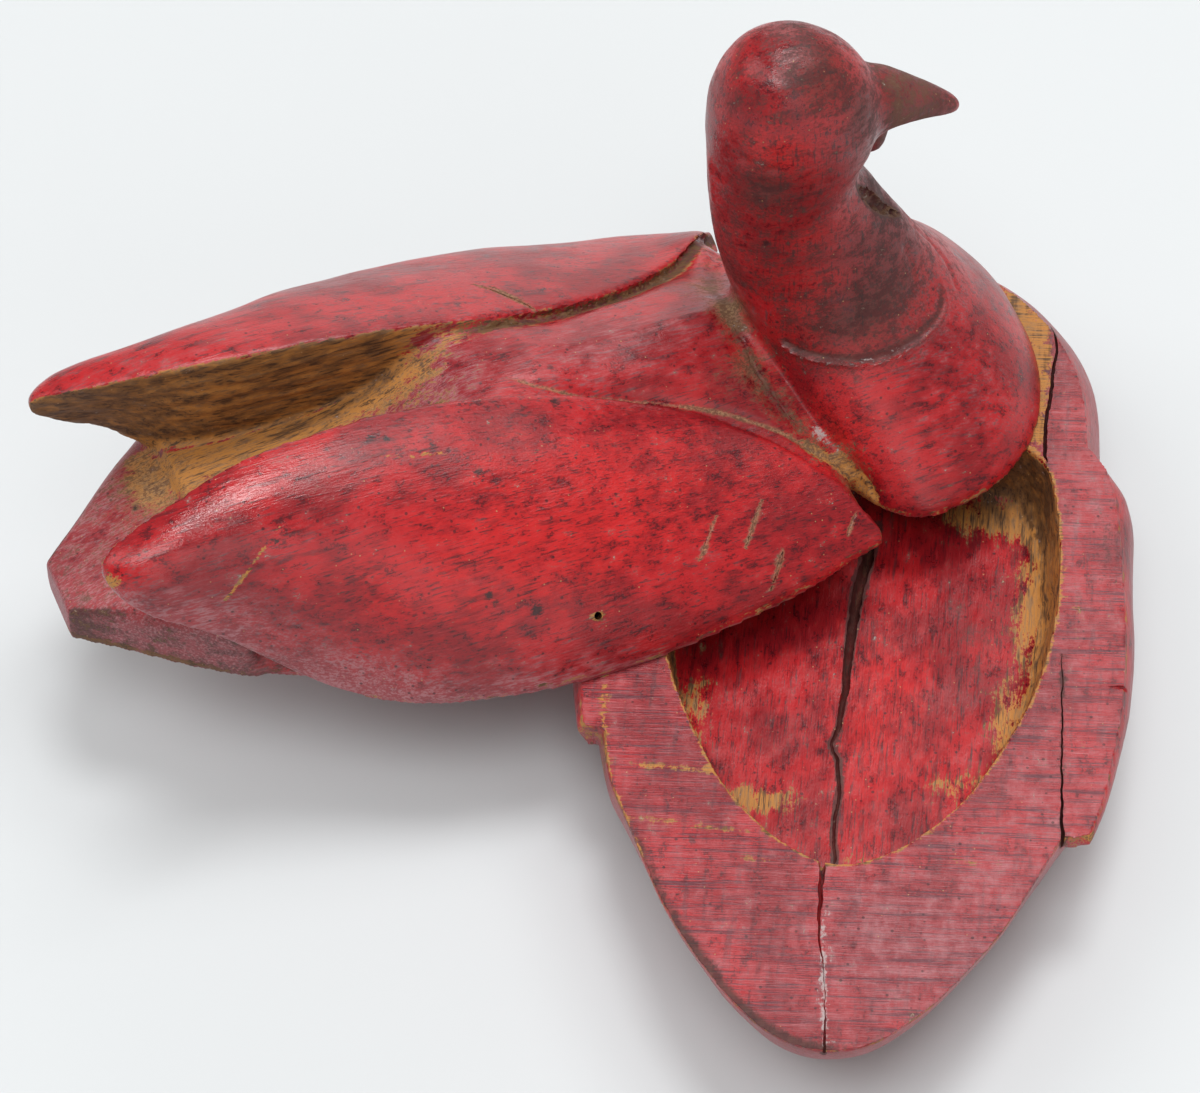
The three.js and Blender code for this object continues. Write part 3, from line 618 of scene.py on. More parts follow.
# The lid: tail and hollow back, two wings, breast, neck, head and beak. Heights are above its flat underside.
wingScar = [[24.2, -61.1, 36], [26.2, -65.2, 33.6], [27.5, -68.9, 30], [27.9, -72.9, 25.6]]
neckScar = [[7.3, 62.4, 36.9], [8.8, 63.7, 33.8], [10.6, 63.4, 31.0], [12.0, 61.4, 30.0]]
lidShape = {
    "ridgeOut": [
        [-91.8, 19], [-89, 17.8], [-85, 16.4], [-75, 13.9], [-60, 11], [-45, 9.5], [-30, 9], [-15, 9.2],
        [0, 10.8], [15, 14.8], [30, 22.5], [40, 31], [45.5, 39.2]],
    "ridgeUp": [
        [-91.8, 34.6], [-89, 36], [-85, 37.2], [-75, 39], [-60, 40.3], [-45, 39.6], [-30, 37.4], [-15, 33.6],
        [0, 28.6], [15, 22.8], [30, 16.2], [40, 9.6], [45.5, 2]],
    "edgeOut": [
        [-91.8, 21.6], [-89.5, 24], [-85, 26], [-80, 27], [-75, 27.8], [-70, 29.2], [-60, 34], [-52, 38.2],
        [-44, 42.7], [-37, 45.3], [-30, 46.9], [-24, 48.1], [-13, 49.1], [-1, 49], [10.5, 47.9],
        [20, 46.6], [26.8, 45.5], [33, 43.9], [37, 42.6], [42, 41.2], [45.5, 40.4]],
    "edgeUp": [
        [-91.8, 31.4], [-89.5, 28.2], [-85, 24], [-80, 20.4], [-75, 16.4], [-70, 12], [-62, 5.6], [-55, 1.4],
        [-49, 0], [45.5, 0]],
    "footOut": [
        [-91.8, 18.8], [-88, 19.4], [-80, 19.6], [-75, 18.6], [-66, 14.5], [-57, 12.2], [-45, 10.6],
        [-30, 9.4], [-15, 8.6], [0, 9.6], [15, 12.5], [30, 19], [40, 27], [45.5, 34]],
    "backOut": [
        [-95.4, 6], [-93, 8], [-88, 11.8], [-82.5, 16.4], [-76.7, 21], [-68, 27], [-61.7, 30.7],
        [-54, 35.2], [-44, 39.5], [-30, 42], [-10, 43], [10, 42], [30, 38], [44, 36]],
    "backUp": [
        [-95.4, 8.2], [-88, 11], [-80, 13.6], [-71.4, 15.6], [-69.6, 18.2], [-57, 19.5], [-45, 21],
        [-36, 23.5], [-27, 28], [-18, 31.6], [-8, 31.6], [5, 29.6], [18, 28.4], [30, 28.2], [38, 25], [44, 20]],
    "wingFlatness": [
        [-91.8, 0.8], [-85, 0.62], [-75, 0.66], [-60, 0.82], [-45, 1], [-30, 1.14], [0, 1.25],
        [30, 1.5], [45, 1.6]],
    "neck": [  # height, rear y, front y, half width, y of the widest place
        [-2, 41.5, 91, 38.4, 57], [0, 40.5, 90.4, 38, 57], [6, 39, 88, 34.4, 57],
        [12, 37.6, 84, 29.2, 55.5], [18, 36.2, 79.4, 23.6, 53.5], [24, 34.8, 75, 18.4, 51],
        [30, 33, 70.6, 14.4, 48.5], [37, 31, 66.2, 12, 46], [45, 29.3, 61.4, 10.9, 43.6],
        [52, 28.5, 57.6, 10.4, 42.2], [56.5, 28.2, 54.9, 10.6, 41.8], [60.5, 28, 55.4, 11.1, 42],
        [65, 27.7, 57.6, 11.7, 42.4], [71, 27.5, 58.4, 12.2, 42.5], [77, 27.8, 57.6, 12.1, 42.3],
        [81.5, 29, 55.2, 11.3, 42], [85, 30.8, 52, 9.8, 41.6], [87.8, 33.2, 48.8, 7.4, 41],
        [89.6, 36.4, 45.4, 4.3, 41], [90.3, 39.8, 42, 1.2, 41]],
    "beak": [  # y, middle height, half width, half height
        [50, 70.5, 6.5, 7], [56, 70.6, 6.6, 7.1], [60, 70, 5.9, 6.3], [64, 68.4, 4.8, 4.9],
        [68, 66.4, 3.6, 3.5], [71.5, 64.3, 2.5, 2.3], [73.8, 62.9, 1.4, 1.3], [74.6, 62.4, 0.5, 0.5]],
    "collar": [  # degrees round the neck from the front, height of the cut
        [0, 30.5], [12, 29.6], [20, 28.6], [27, 26.0], [37, 24.2], [48, 23.8], [60, 23.5], [75, 23.3],
        [90, 23.8], [104, 24.5], [116, 24.9], [128, 25.2], [142, 26.2], [150, 27.5], [180, 29]],
    "collarMiddle": 50, "collarDepth": 0.9,
    "valley": [
        [0, 31.6, 27.4], [4.8, 32.1, 24.7], [8.9, 32.7, 22.0], [12.9, 33.6, 19.1], [16.0, 35.2, 16.4],
        [19.1, 36.9, 13.6], [23.0, 39.6, 10.6], [26.3, 43.0, 6.8], [28.9, 46.2, 2.4], [30.2, 47.6, -0.6]],
    "voxel": 0.55,
    "knife": {"Facet": 10.0, "Depth": 0.35, "Swell": 0.8, "Tool": 0.1, "Seed": 2},
    "nearSeam": [[3.0, -14.0, 32.0], [7, -7.9, 30.7], [9.9, -0.6, 28], [11.3, 6.4, 25.8], [12.8, 13.4, 23.6],
                 [14.8, 20.2, 21.2], [16.7, 25.2, 19.1], [19, 30, 17.1], [21.1, 34.1, 13.7], [24, 38.7, 10.9],
                 [26.3, 44.8, 3.9], [31.2, 47.6, 1.9]],
    "leftLift": ((-26, 40), (8.5, 7), 3.2),  # middle, size, rise
    "tornFibres": [(0.28, (0.9, 0.1, 0.9), 1.1, 65, 2), (0.3, (0.6, 0.12, 0.6), 2.8, 66, 2)],
    "farSeamWidths": [0.15, 0.3, 0.4, 0.42, 0.42, 0.38, 0.3, 0.1],
    "creviceWidths": [0.25, 0.5, 0.6, 0.45, 0.15],
    "knifeCuts": [  # short cuts on the wings: path, half widths
        ([[34.1, 15.4, 14.8], [35.8, 13.9, 14.1], [37.5, 12.3, 13.2], [40.1, 9.7, 11.8]],
         [0.08, 0.22, 0.3, 0.12]),
        ([[32.6, 24.7, 13.1], [34.4, 23.1, 12.4], [36.1, 21.5, 11.5], [39.2, 18.7, 9.9]],
         [0.14, 0.3, 0.3, 0.1]),
        ([[40.1, 25.6, 7.2], [41.3, 24.6, 6.4], [42.5, 23.5, 5.4], [44.7, 21.3, 3.3]],
         [0.28, 0.45, 0.4, 0.28]),
        ([[36.2, 41.9, 6.2], [37.2, 40.5, 5.4], [39.1, 38.7, 4.2]], [0.18, 0.36, 0.25]),
        ([[-19.9, -8.7, 29.4], [-16.2, -5.4, 29.5], [-13.5, -3.1, 29.3], [-10.8, -0.9, 28.9]],
         [0.15, 0.3, 0.35, 0.25]),
        ([[-19.0, -6.4, 29.0], [-15.6, -3.9, 29.1], [-12.5, -1.2, 28.6]], [0.12, 0.22, 0.18])],
    "wormHole": ([[46.2, -11.6, 13.6], [44.5, -11.3, 11.3], [38.0, -10.0, 4.6]], [0.72, 0.7, 0.66]),
    "gouge": ([[6.8, 52.8, 57.4], [6.0, 54.4, 53.6], [5.0, 57.0, 49.4], [4.0, 60.2, 44.8], [2.8, 63.6, 41.0]],
              [0.3, 1.4, 1.9, 1.2, 0.3]),
    "dents": [  # place, radius, depth
        ((7.7, 30.6, 73.0), 1.2, 0.55), ((10.5, 34.6, 71.8), 1.1, 0.5), ((9.6, 33.6, 67.2), 2.4, 0.3),
        ((4.4, 57.2, 51.4), 2.6, 0.5), ((3.4, 60.2, 46.6), 2.6, 0.6)],
    "scars": [  # path, half width, depth
        ([[1.6, 66.2, 37.0], [1.1, 70.5, 30.0], [3.9, 72.6, 26.4], [8.1, 72.8, 24.0]], 0.7, 0.3),
        (neckScar, 0.7, 0.25), (wingScar, 0.45, 0.12),
        ([[0.3, 27.7, 66.4], [0.9, 27.9, 62.5], [1.5, 28.3, 58.1]], 1.5, -0.7)],
    "scratches": [  # path, half width, how bare
        (wingScar, 0.55, 1.0), ([[17.5, -41.4, 37.7], [18.4, -35, 36.4], [19.1, -28.4, 35]], 0.8, 0.8),
        ([[19.4, -34.0, 35.4], [20.6, -26, 33.6]], 0.6, 0.6), (neckScar[:3], 0.5, 0.5)],
    "patches": {  # layer of the paint: place, size, how much
        "rawWood": [
            ((-11, -74, 14.5), (9, 5.5, 5), 1.0), ((22.3, -91.2, 32.4), (1.5, 3.4, 1.6), 1.1),
            ((-22.3, -91.2, 32.4), (1.5, 3.4, 1.6), 1.1)],
        "dust": [
            ((-9, -75, 14.5), (10, 6, 5), 0.35), ((13, 28, 22), (6, 7, 4), 0.3),
            ((-12, 26, 22), (7, 10, 6), 0.3)],
        # the pale patch on the back is partly a painted sheen
        "dryPaint": [
            ((0, 8, 29), (11, 30, 8), 0.45), ((24, -75, 30), (8, 18, 14), 0.25),
            ((24, 70, 14), (16, 18, 14), 0.25)],
        "grime": [
            ((15, 52, 29), (12, 12, 7), 0.3), ((4, 44, 86), (9, 6, 5), 0.45), ((9, 52, 78), (6, 6, 7), 0.3),
            ((10, 34, 66), (5, 5, 7), 0.35), ((0, 30, 60), (6, 5, 12), 0.2), ((3.6, 59, 48), (3, 4, 6), 0.35),
            ((14, 60, 40), (8, 10, 12), 0.15), ((38, -52, 16), (10, 16, 8), 0.12),
            ((30, -70, 26), (8, 12, 10), 0.2), ((-24, -20, 28), (12, 40, 14), 0.2),
            ((26, 48, 6), (6, 8, 8), 0.2)],
        "fresh": [
            ((30, -14, 22), (18, 42, 16), 0.7), ((9, 36, 76), (6, 6, 6), 0.9),
            ((24, 46, 12), (10, 12, 10), 0.5)],
        "polish": [
            ((22.3, -90.8, 32.4), (3, 4, 4), 0.8), ((-22.3, -90.8, 32.4), (3, 4, 4), 0.8),
            ((18, -72, 36), (9, 18, 6), 1.1), ((3, 40, 89), (9, 9, 6), 1.0), ((0, -20, 31), (7, 6, 4), 0.7)]},
    "tailStep": [
        [-18.2, -71.0, 14.8], [-13.9, -70.2, 16.2], [-10.6, -69.8, 17.0], [-4.1, -69.6, 17.2],
        [6, -69.6, 17.2]],
    "valleySpot": [[20, 40.5, 11.3], [23, 43.2, 7.4]],
}


def wingSkin(side):  # the outer face up to the ridge, then the hollow inner face down to the foot
    s = lidShape
    rOut, rUp, eOut, eUp, flat, fOut, bUp = [curve(s[key]) for key in (
        "ridgeOut", "ridgeUp", "edgeOut", "edgeUp", "wingFlatness", "footOut", "backUp")]
    rings = []
    stations = np.concatenate([[-91.8, -91.7, -91.5, -91.2], np.linspace(-90.8, 45.5, 190)])
    for y in stations:
        t, h, x, low, k = [float(c(y)) for c in (rOut, rUp, eOut, eUp, flat)]
        a = np.linspace(0, np.pi / 2, 52)
        outer = np.stack([t + (x - t) * np.cos(a) ** k, low + (h - low) * np.sin(a) ** k], axis=1)
        outer = divided(outer, 46)
        under = float(bUp(y)) - 3
        deep = low if y < -64 else min(under, low + 0.55 * (h - low))
        if -64 <= y < -58:
            deep = float(mix(low, deep, (y + 64) / 6))
        foot = min(float(fOut(y)), x - 0.4)
        lift = float(smooth(0.0, 0.6, low))
        inner = divided([outer[-1], [mix(t, foot, 0.45), mix(h, deep, 0.5)], [foot, deep + 0.12 * (h - deep)],
                         [mix(foot, x, 0.3), mix(deep, low, 0.5) - 0.2 * lift],
                         [mix(foot, x, 0.7), low - 1.2 * (1 - lift)],
                         [x - 0.02, low - mix(1.2, 0.05, lift)]], 40)[1:]
        ring = np.concatenate([outer, inner])
        blunt = math.sqrt(max(0.0, 1 - ((-90.8 - y) / 1.05) ** 2)) if y < -90.8 else 1.0  # rounded tip
        mid = ring.mean(axis=0)
        ring = mid + (ring - mid) * (0.25 + 0.75 * blunt)
        rings.append(np.stack([side * ring[:, 0], np.full(len(ring), y), ring[:, 1]], axis=1))
    return loft("wing", rings)


def backSkin():  # a slab tail that runs into the dipped back and the front of the body
    s = lidShape
    out, up, edge, rOut, rUp, fOut = [curve(s[key]) for key in (
        "backOut", "backUp", "edgeOut", "ridgeOut", "ridgeUp", "footOut")]
    rings = []
    stations = [np.linspace(-95.4, -71.4, 40), np.linspace(-71.2, -69.4, 7), np.linspace(-69, 44, 160)]
    for y in np.concatenate(stations):
        h = float(up(y))
        tail, body = None, None
        if y < -66:
            w, side = float(out(y)), min(h - 1, 7 + (y + 95) * 0.14)
            tail = [[w, -2], [w, side], [w * 0.95, mix(side, h, 0.4)], [w * 0.84, mix(side, h, 0.78)],
                    [w * 0.45, h - 0.4], [0, h]]
        if y >= -70:
            w = min(float(out(y)), float(edge(y)) - 4)
            t = (y + 31) / 22
            x = min(mix(float(fOut(y)) + 2, float(rOut(y)) + 1, t), w - 1)
            z = mix(h - 0.8, float(rUp(y)) - 1.8, t)
            rise = mix(0.75, 0.3, (y - 12) / 28)
            body = [[w, -2], [w, 0.5], [(w + x) / 2, mix(0.5, z, 0.55)], [x, z], [x * 0.55, mix(z, h, rise)],
                    [0, h]]
        if tail is None:
            half = divided(body, 44)
        elif body is None:
            half = divided(tail, 44)
        else:
            half = divided(tail, 44) + (divided(body, 44) - divided(tail, 44)) * float(smooth(-70, -66, y))
        for _ in range(3):  # softens the corners of the section
            half[1:-1] = 0.25 * half[:-2] + 0.5 * half[1:-1] + 0.25 * half[2:]
        ring = np.concatenate([half, half[-2::-1] * [-1, 1]])
        rings.append(np.stack([ring[:, 0], np.full(len(ring), y), ring[:, 1]], axis=1))
    return loft("back", rings)


def neckSkin():  # breast, neck and head, in level rings
    columns = curves(lidShape["neck"])
    a = np.linspace(0, 2 * np.pi, 150, endpoint=False)
    bend = lambda v: np.sign(v) * np.abs(v) ** 0.95
    rings = []
    for z in np.concatenate([np.linspace(-2, 84, 130), np.linspace(84.5, 90.3, 22)]):
        rear, front, width, wide = [float(c(z)) for c in columns]
        reach = np.where(np.cos(a) > 0, front - wide, wide - rear)
        rings.append(np.stack([width * bend(np.sin(a)), wide + reach * bend(np.cos(a)),
                               np.full(len(a), z)], axis=1))
    return loft("neck", rings)


def beakSkin():
    columns = curves(lidShape["beak"])
    a = np.linspace(0, 2 * np.pi, 64, endpoint=False)
    rings = []
    for y in np.linspace(50, 74.6, 60):
        z, width, height = [float(c(y)) for c in columns]
        rings.append(np.stack([width * np.sin(a), np.full(len(a), y), z + height * np.cos(a)], axis=1))
    return loft("beak", rings)


def wattleSkin():  # the broken stump of a wattle under the beak
    a = np.linspace(0, 2 * np.pi, 28, endpoint=False)
    rings = []
    for t in np.linspace(0, 1, 16):
        ring = np.stack([(2.1 + 1.0 * t) * np.cos(a), 57.5 + 0.3 * t + (2.7 + 1.0 * t) * np.sin(a),
                         58.7 + 6.3 * t + 0 * a], axis=1)
        ring[:, 2] += (1 - t) ** 3 * 0.7 * noise(ring, 1.2, 51)
        rings.append(ring)
    return loft("wattle", rings)


def both(line):  # a path and its mirror image
    line = np.array(line, float)
    return line, line * [-1, 1, 1]


def ridgeLine(y0, y1, inwards, down):  # the right wing's inner edge, or a line beside it
    s = lidShape
    ys = np.linspace(y0, y1, 40)
    out, up = curve(s["ridgeOut"])(ys), curve(s["ridgeUp"])(ys)
    return np.stack([out - inwards, ys, up - down], axis=1)


def leftLift(p):  # the left wing's front end and the back beside it stand higher than the right's
    middle, size, rise = lidShape["leftLift"]
    return rise * blob(p[:, :2], middle, size) * smooth(2, 8, p[:, 2]) * smooth(30, 20, p[:, 2])


def leftSeam(y0, y1, inwards):  # along and just under the left wing's inner edge
    line = both(ridgeLine(y0, y1, inwards, 1.0))[1]
    line[:, 2] += leftLift(line)
    return line


def collarPlace(p):  # degrees round the neck from the front, mm above the collar's line, and a mask of the neck
    s = lidShape
    turn = np.degrees(np.arctan2(np.abs(p[:, 0]), p[:, 1] - s["collarMiddle"]))
    onNeck = (np.hypot(p[:, 0], p[:, 1] - s["collarMiddle"]) < 27) & (p[:, 2] > 17) & (p[:, 1] > 34)
    return turn, p[:, 2] - curve(s["collar"])(turn), onNeck


def carveLid(groove, relief, blank):
    s = lidShape
    obj = combine(backSkin(), [wingSkin(1), wingSkin(-1), neckSkin(), beakSkin(), wattleSkin()], "UNION")
    combine(obj, [block("below", -120, 120, -120, 120, -30, 0)], "DIFFERENCE")
    remeshed(obj, s["voxel"])
    mesh = obj.data
    p, edges = positions(mesh), edgesOf(mesh)
    p = spread(p, edges, 3)
    n = normals(mesh)
    under = (p[:, 2] < 0.4) & (n[:, 2] < -0.6)
    # hand-rubbed hollows: behind the neck, where the beak grows out of the head, and where the back dips
    valleyGap = [lineGap(p, line)[0] for line in both(s["valley"])]
    soft = smooth(6.0, 2.0, np.minimum(*valleyGap)) * smooth(1.0, 4.0, p[:, 2])
    soft += np.exp(-((p[:, 1] - 57.8) / 3.4) ** 2) * smooth(62.5, 66, p[:, 2])
    soft += np.exp(-((p[:, 1] + 24) / 9) ** 2) * smooth(9.5, 7.0, np.abs(p[:, 0])) * smooth(18, 21, p[:, 2])
    p += (spread(p, edges, 45) - p) * np.clip(soft * ~under, 0, 1)[:, None]
    p[:, 2] = np.where(under, 0.0, np.maximum(p[:, 2], 0.0))
    p[:, 2] += leftLift(p)
    setPositions(mesh, p)
    n = normals(mesh)
    # collar: the neck is cut in above a line round it
    turn, above, onNeck = collarPlace(p)
    above -= 0.25 * noise(p * [1, 1, 0], 3.0, 61)
    fade = smooth(22, 34, turn) * smooth(142.5, 137.5, turn) * (0.5 + 0.5 * smooth(54, 66, turn))
    cut = -s["collarDepth"] * smooth(-0.3, 0.3, above) * np.exp(-np.maximum(above, 0) / 5.0)
    lip = 0.3 * np.exp(-((above + 0.4) / 0.42) ** 2)
    shift = np.where(onNeck & (p[:, 2] < 45), (cut + lip) * fade, 0.0)
    # dents behind the cheek, scars on the neck and a lump on the nape
    for spot, radius, deep in s["dents"]:
        shift -= deep * blob(p, spot, radius)
    for path, width, deep in s["scars"]:
        shift -= deep * np.exp(-(lineGap(p, path)[0] / width) ** 2)
    # the wings stand proud of the hollow back along their inner edges, the left more than the right
    ridge = ridgeLine(-10, 45.5, 0, 0)
    for line, deep in zip(both(ridge), (0.5, 1.2)):
        gap, along = lineGap(p, line)
        inner = np.abs(p[:, 0]) < np.interp(p[:, 1], ridge[:, 1], ridge[:, 0]) - 0.2
        inner &= (p[:, 0] * line[0, 0] > 0) & (p[:, 2] < 34) & (p[:, 1] < 46)
        drop = deep * smooth(0, 0.15, along) * smooth(1.0, 0.9, along)
        shift -= np.where(inner, drop * np.exp(-(gap / 4.5) ** 2) * smooth(0.1, 0.8, gap), 0.0)
    seam, along = planGap(p, s["nearSeam"])
    upward = (n[:, 2] > 0.2) & (p[:, 2] > 1)
    shift -= np.where(upward, 0.4 * np.exp(-(seam / 0.75) ** 2) * smooth(0, 0.1, along), 0.0)
    for side, gap in zip((1, -1), valleyGap):  # a little more hollow, with crumbled edges
        hollow = (0.5 + 0.35 * noise(p, 2.2, 63)) * smooth(4.0, 0.5, gap) * smooth(1, 5, p[:, 2])
        shift -= np.where(side * p[:, 0] > -6, hollow, 0.0)
    # torn fibres on the raw inner faces of the wings and on the floor between them
    torn = smooth(-26, -36, p[:, 1]) * smooth(0.1, 0.4, -np.sign(p[:, 0]) * n[:, 0]) * smooth(13, 16, p[:, 2])
    shift += torn * uneven(p, s["tornFibres"])
    shift[under] = 0
    p += n * shift[:, None]
    p[:, 2] = np.maximum(p[:, 2], 0.0)
    setPositions(mesh, p)
    rimless = smooth(0.2, 2.5, p[:, 2])
    rawFace = smooth(-36, -50, p[:, 1]) * smooth(0.2, 0.6, -np.sign(p[:, 0]) * n[:, 0])
    floatLayer(mesh, "carveMask", np.where(under, 0.0, rimless * (1 + rawFace)))
    throughTree(obj, relief, {**s["knife"], "Material": blank})
    cutGrooves(obj, groove, blank, [("farSeam", leftSeam(-24, 36.5, 0.9), s["farSeamWidths"], {
        "Flatness": 2.0, "Lean": -0.5, "Wander": 1.0, "Rough": 0.9, "Grain": 1.1, "Sides": 14, "Step": 0.5,
        "Seed": 11})])
    cutGrooves(obj, groove, blank, [("crevice", s["valley"][:6], s["creviceWidths"], {
        "Wander": 1.6, "Rough": 0.7, "Grain": 1.2, "Sides": 12, "Step": 0.5, "Seed": 21})])
    cutGrooves(obj, groove, blank, [
        ("knifeCut", *cut, {"Rough": 0.5, "Grain": 0.5, "Wander": 0.6, "Step": 0.3, "Seed": 31 + number})
        for number, cut in enumerate(s["knifeCuts"])] + [
        ("wormHole", *s["wormHole"], {"Rough": 0.08, "Wander": 0.0, "Sides": 20, "Seed": 41})])
    cutGrooves(obj, groove, blank, [("gouge", *s["gouge"], {
        "Rough": 2.0, "Grain": 0.9, "Wander": 1.4, "Sides": 16, "Flatness": 0.8, "Step": 0.4, "Seed": 47})])
    combine(obj, [cylinder("socket", common["socketRadius"], -1.0, common["socketDepth"])], "DIFFERENCE")
    return thinned(obj, common["triangles"])


def near(p, line, radius):  # 1 on a line or point, 0 beyond the radius
    line = np.array(line, float)
    gap = np.linalg.norm(p - line, axis=1) if line.ndim == 1 else lineGap(p, line)[0]
    return smooth(radius, 0.0, gap)


# the dirt, umber, dry paint and filler layers also carry painted shade, sheen and a highlight
layerNames = ("rawWood", "umberAndShade", "grime", "dryPaint", "dust", "fillerAndHighlight", "sawn", "upright", "fresh", "polish")


def bareLayers(mesh):  # places, normals, mm above (ridges) or below (hollows) a softened surface, layers
    p, n = positions(mesh), normals(mesh)
    bend = ((p - spread(p, edgesOf(mesh), 12, 0.6)) * n).sum(axis=1)
    return p, n, bend, {key: np.zeros(len(p)) for key in layerNames}


def patched(layer, p, patches, where=1.0):  # soft-edged patches, on the part of the surface where the mask is 1
    for key, spots in patches.items():
        for centre, size, much in spots:
            layer[key] += where * much * blob(p, centre, size)


def dressBase(mesh):
    s, top = baseShape, common["baseHeight"]
    p, n, bend, layer = bareLayers(mesh)
    x, y, z = p.T
    raw, umberAndShade, grime, dry, dust = [layer[k] for k in ("rawWood", "umberAndShade", "grime", "dryPaint", "dust")]
    flat = smooth(top - 0.45, top - 0.2, z) * smooth(0.4, 0.75, n[:, 2])
    wellGap = planGap(p, roundLoop(mirrored(s["well"]), 1.0))[0]
    rimGap = planGap(p, roundLoop(mirrored(s["outline"]), 1.5))[0]
    wellY, wellX = np.array(sorted(tuple(row) for row in s["well"])).T
    inWell = (z > 10) & (z < top - 0.4) & (y > wellY.min() - 1.2) & (y < wellY.max() + 1.2)
    inWell &= np.abs(x) < np.interp(y, wellY, wellX, left=0.0, right=0.0) + 1.2
    wall = np.where(inWell & (z > 15.7) & (n[:, 2] < 0.75), 1.0, 0.0)
    floor = np.where(inWell, 1.0, 0.0) - wall
    outside = (~inWell) * (1 - flat)
    # bare wood on the wall of the well, and patches of it on the floor beside the wall and on the rim
    raw += wall * (0.68 + 0.35 * smooth(0, 30, x) * smooth(-20, 10, y))
    # browner on the wall, darker brown towards its front as painted shade
    umberAndShade += wall * (0.3 + 0.45 * smooth(22, 38, y) + 0.3 * smooth(-10, -30, x))
    raw += floor * (smooth(4.0, 0.5, wellGap) * 0.42 + smooth(10, 1, wellGap) * 0.22 * smooth(-5, 15, x))
    patched(layer, p, s["floorPatches"], floor)
    patched(layer, p, s["rimPatches"], flat)
    # rubbed arris of the well and of the rim, the bare strip inside the chest crack, the wings' broken ends
    raw += flat * smooth(1.0, 0.1, wellGap) * 0.7
    raw += outside * smooth(0.12, 0.35, bend) * smooth(top - 2, top, z) * 0.6
    raw += flat * smooth(0.9, 0.2, rimGap) * smooth(-60, -50, y) * smooth(-8, -14, y) * (x < 0) * 0.8
    strip = smooth(0.4, -0.9, x - np.interp(y, *np.array(s["chestStrip"]).T))
    raw += flat * strip * smooth(42, 46, y) * smooth(18, 24, x) * 0.8
    broken = smooth(3.0, 0.3, y + 41.8) * (x > 37.5) + smooth(3.0, 0.3, y + 26) * (x < -41)
    raw += broken * 0.4 * (z < top - 0.1)
    # dry, pinkish paint on the sawn rim and down the sides; paler to the right of the rim as painted sheen
    dry += flat * (0.34 + 0.1 * smooth(10, 30, x)) + floor * 0.05
    dry += outside * smooth(top - 0.5, top - 3, z) * 0.7
    layer["sawn"] += flat
    # dirt along the left edge of the rim and round the tail; dirt in the well, darker towards its front as
    # painted shade; darker low on the sides; dirt and painted shade in every hollow
    grime += flat * smooth(3.4, 0.3, rimGap) * smooth(-36, -52, y) * smooth(4, -4, x) * 0.75
    grime += flat * smooth(3.0, 0.3, rimGap) * smooth(-60, -75, y) * 0.35
    grime += floor * (0.3 * smooth(30, 38, y) + 0.12)
    grime += wall * 0.12 + outside * (0.12 * smooth(20, 8, z) + smooth(5, 0, z) * 0.35)
    grime += smooth(-0.12, -0.4, bend) * 0.45 * (1 - flat)
    # cracks, dusty where they are wide and dark inside where they are thin, the dark partly dirt and partly
    # painted shade; a whitish filler in the tail's crack
    for path, widths, deep in s["cracks"].values():
        gap, along = lineGap(p * [1, 1, 0.2], np.array(path) * [1, 1, 0.2])
        wide = widthAt(along, widths)
        below = smooth(0.02, -0.35, z - np.interp(along, [0, 1], [path[0][2], path[-1][2]]))
        middle = smooth(wide * 0.95, wide * 0.45, gap) * smooth(0.45, 0.8, wide)
        dust += middle * below * 0.52
        grime += smooth(wide * 1.3 + 0.35, wide * 0.9, gap) * below * (1.3 - middle)
        grime += smooth(wide + 0.9, wide, gap) * 0.25
    layer["fillerAndHighlight"] += near(p, s["fillerLine"], 1.3) * smooth(top - 2, top - 0.6, z) * 0.62
    return layer


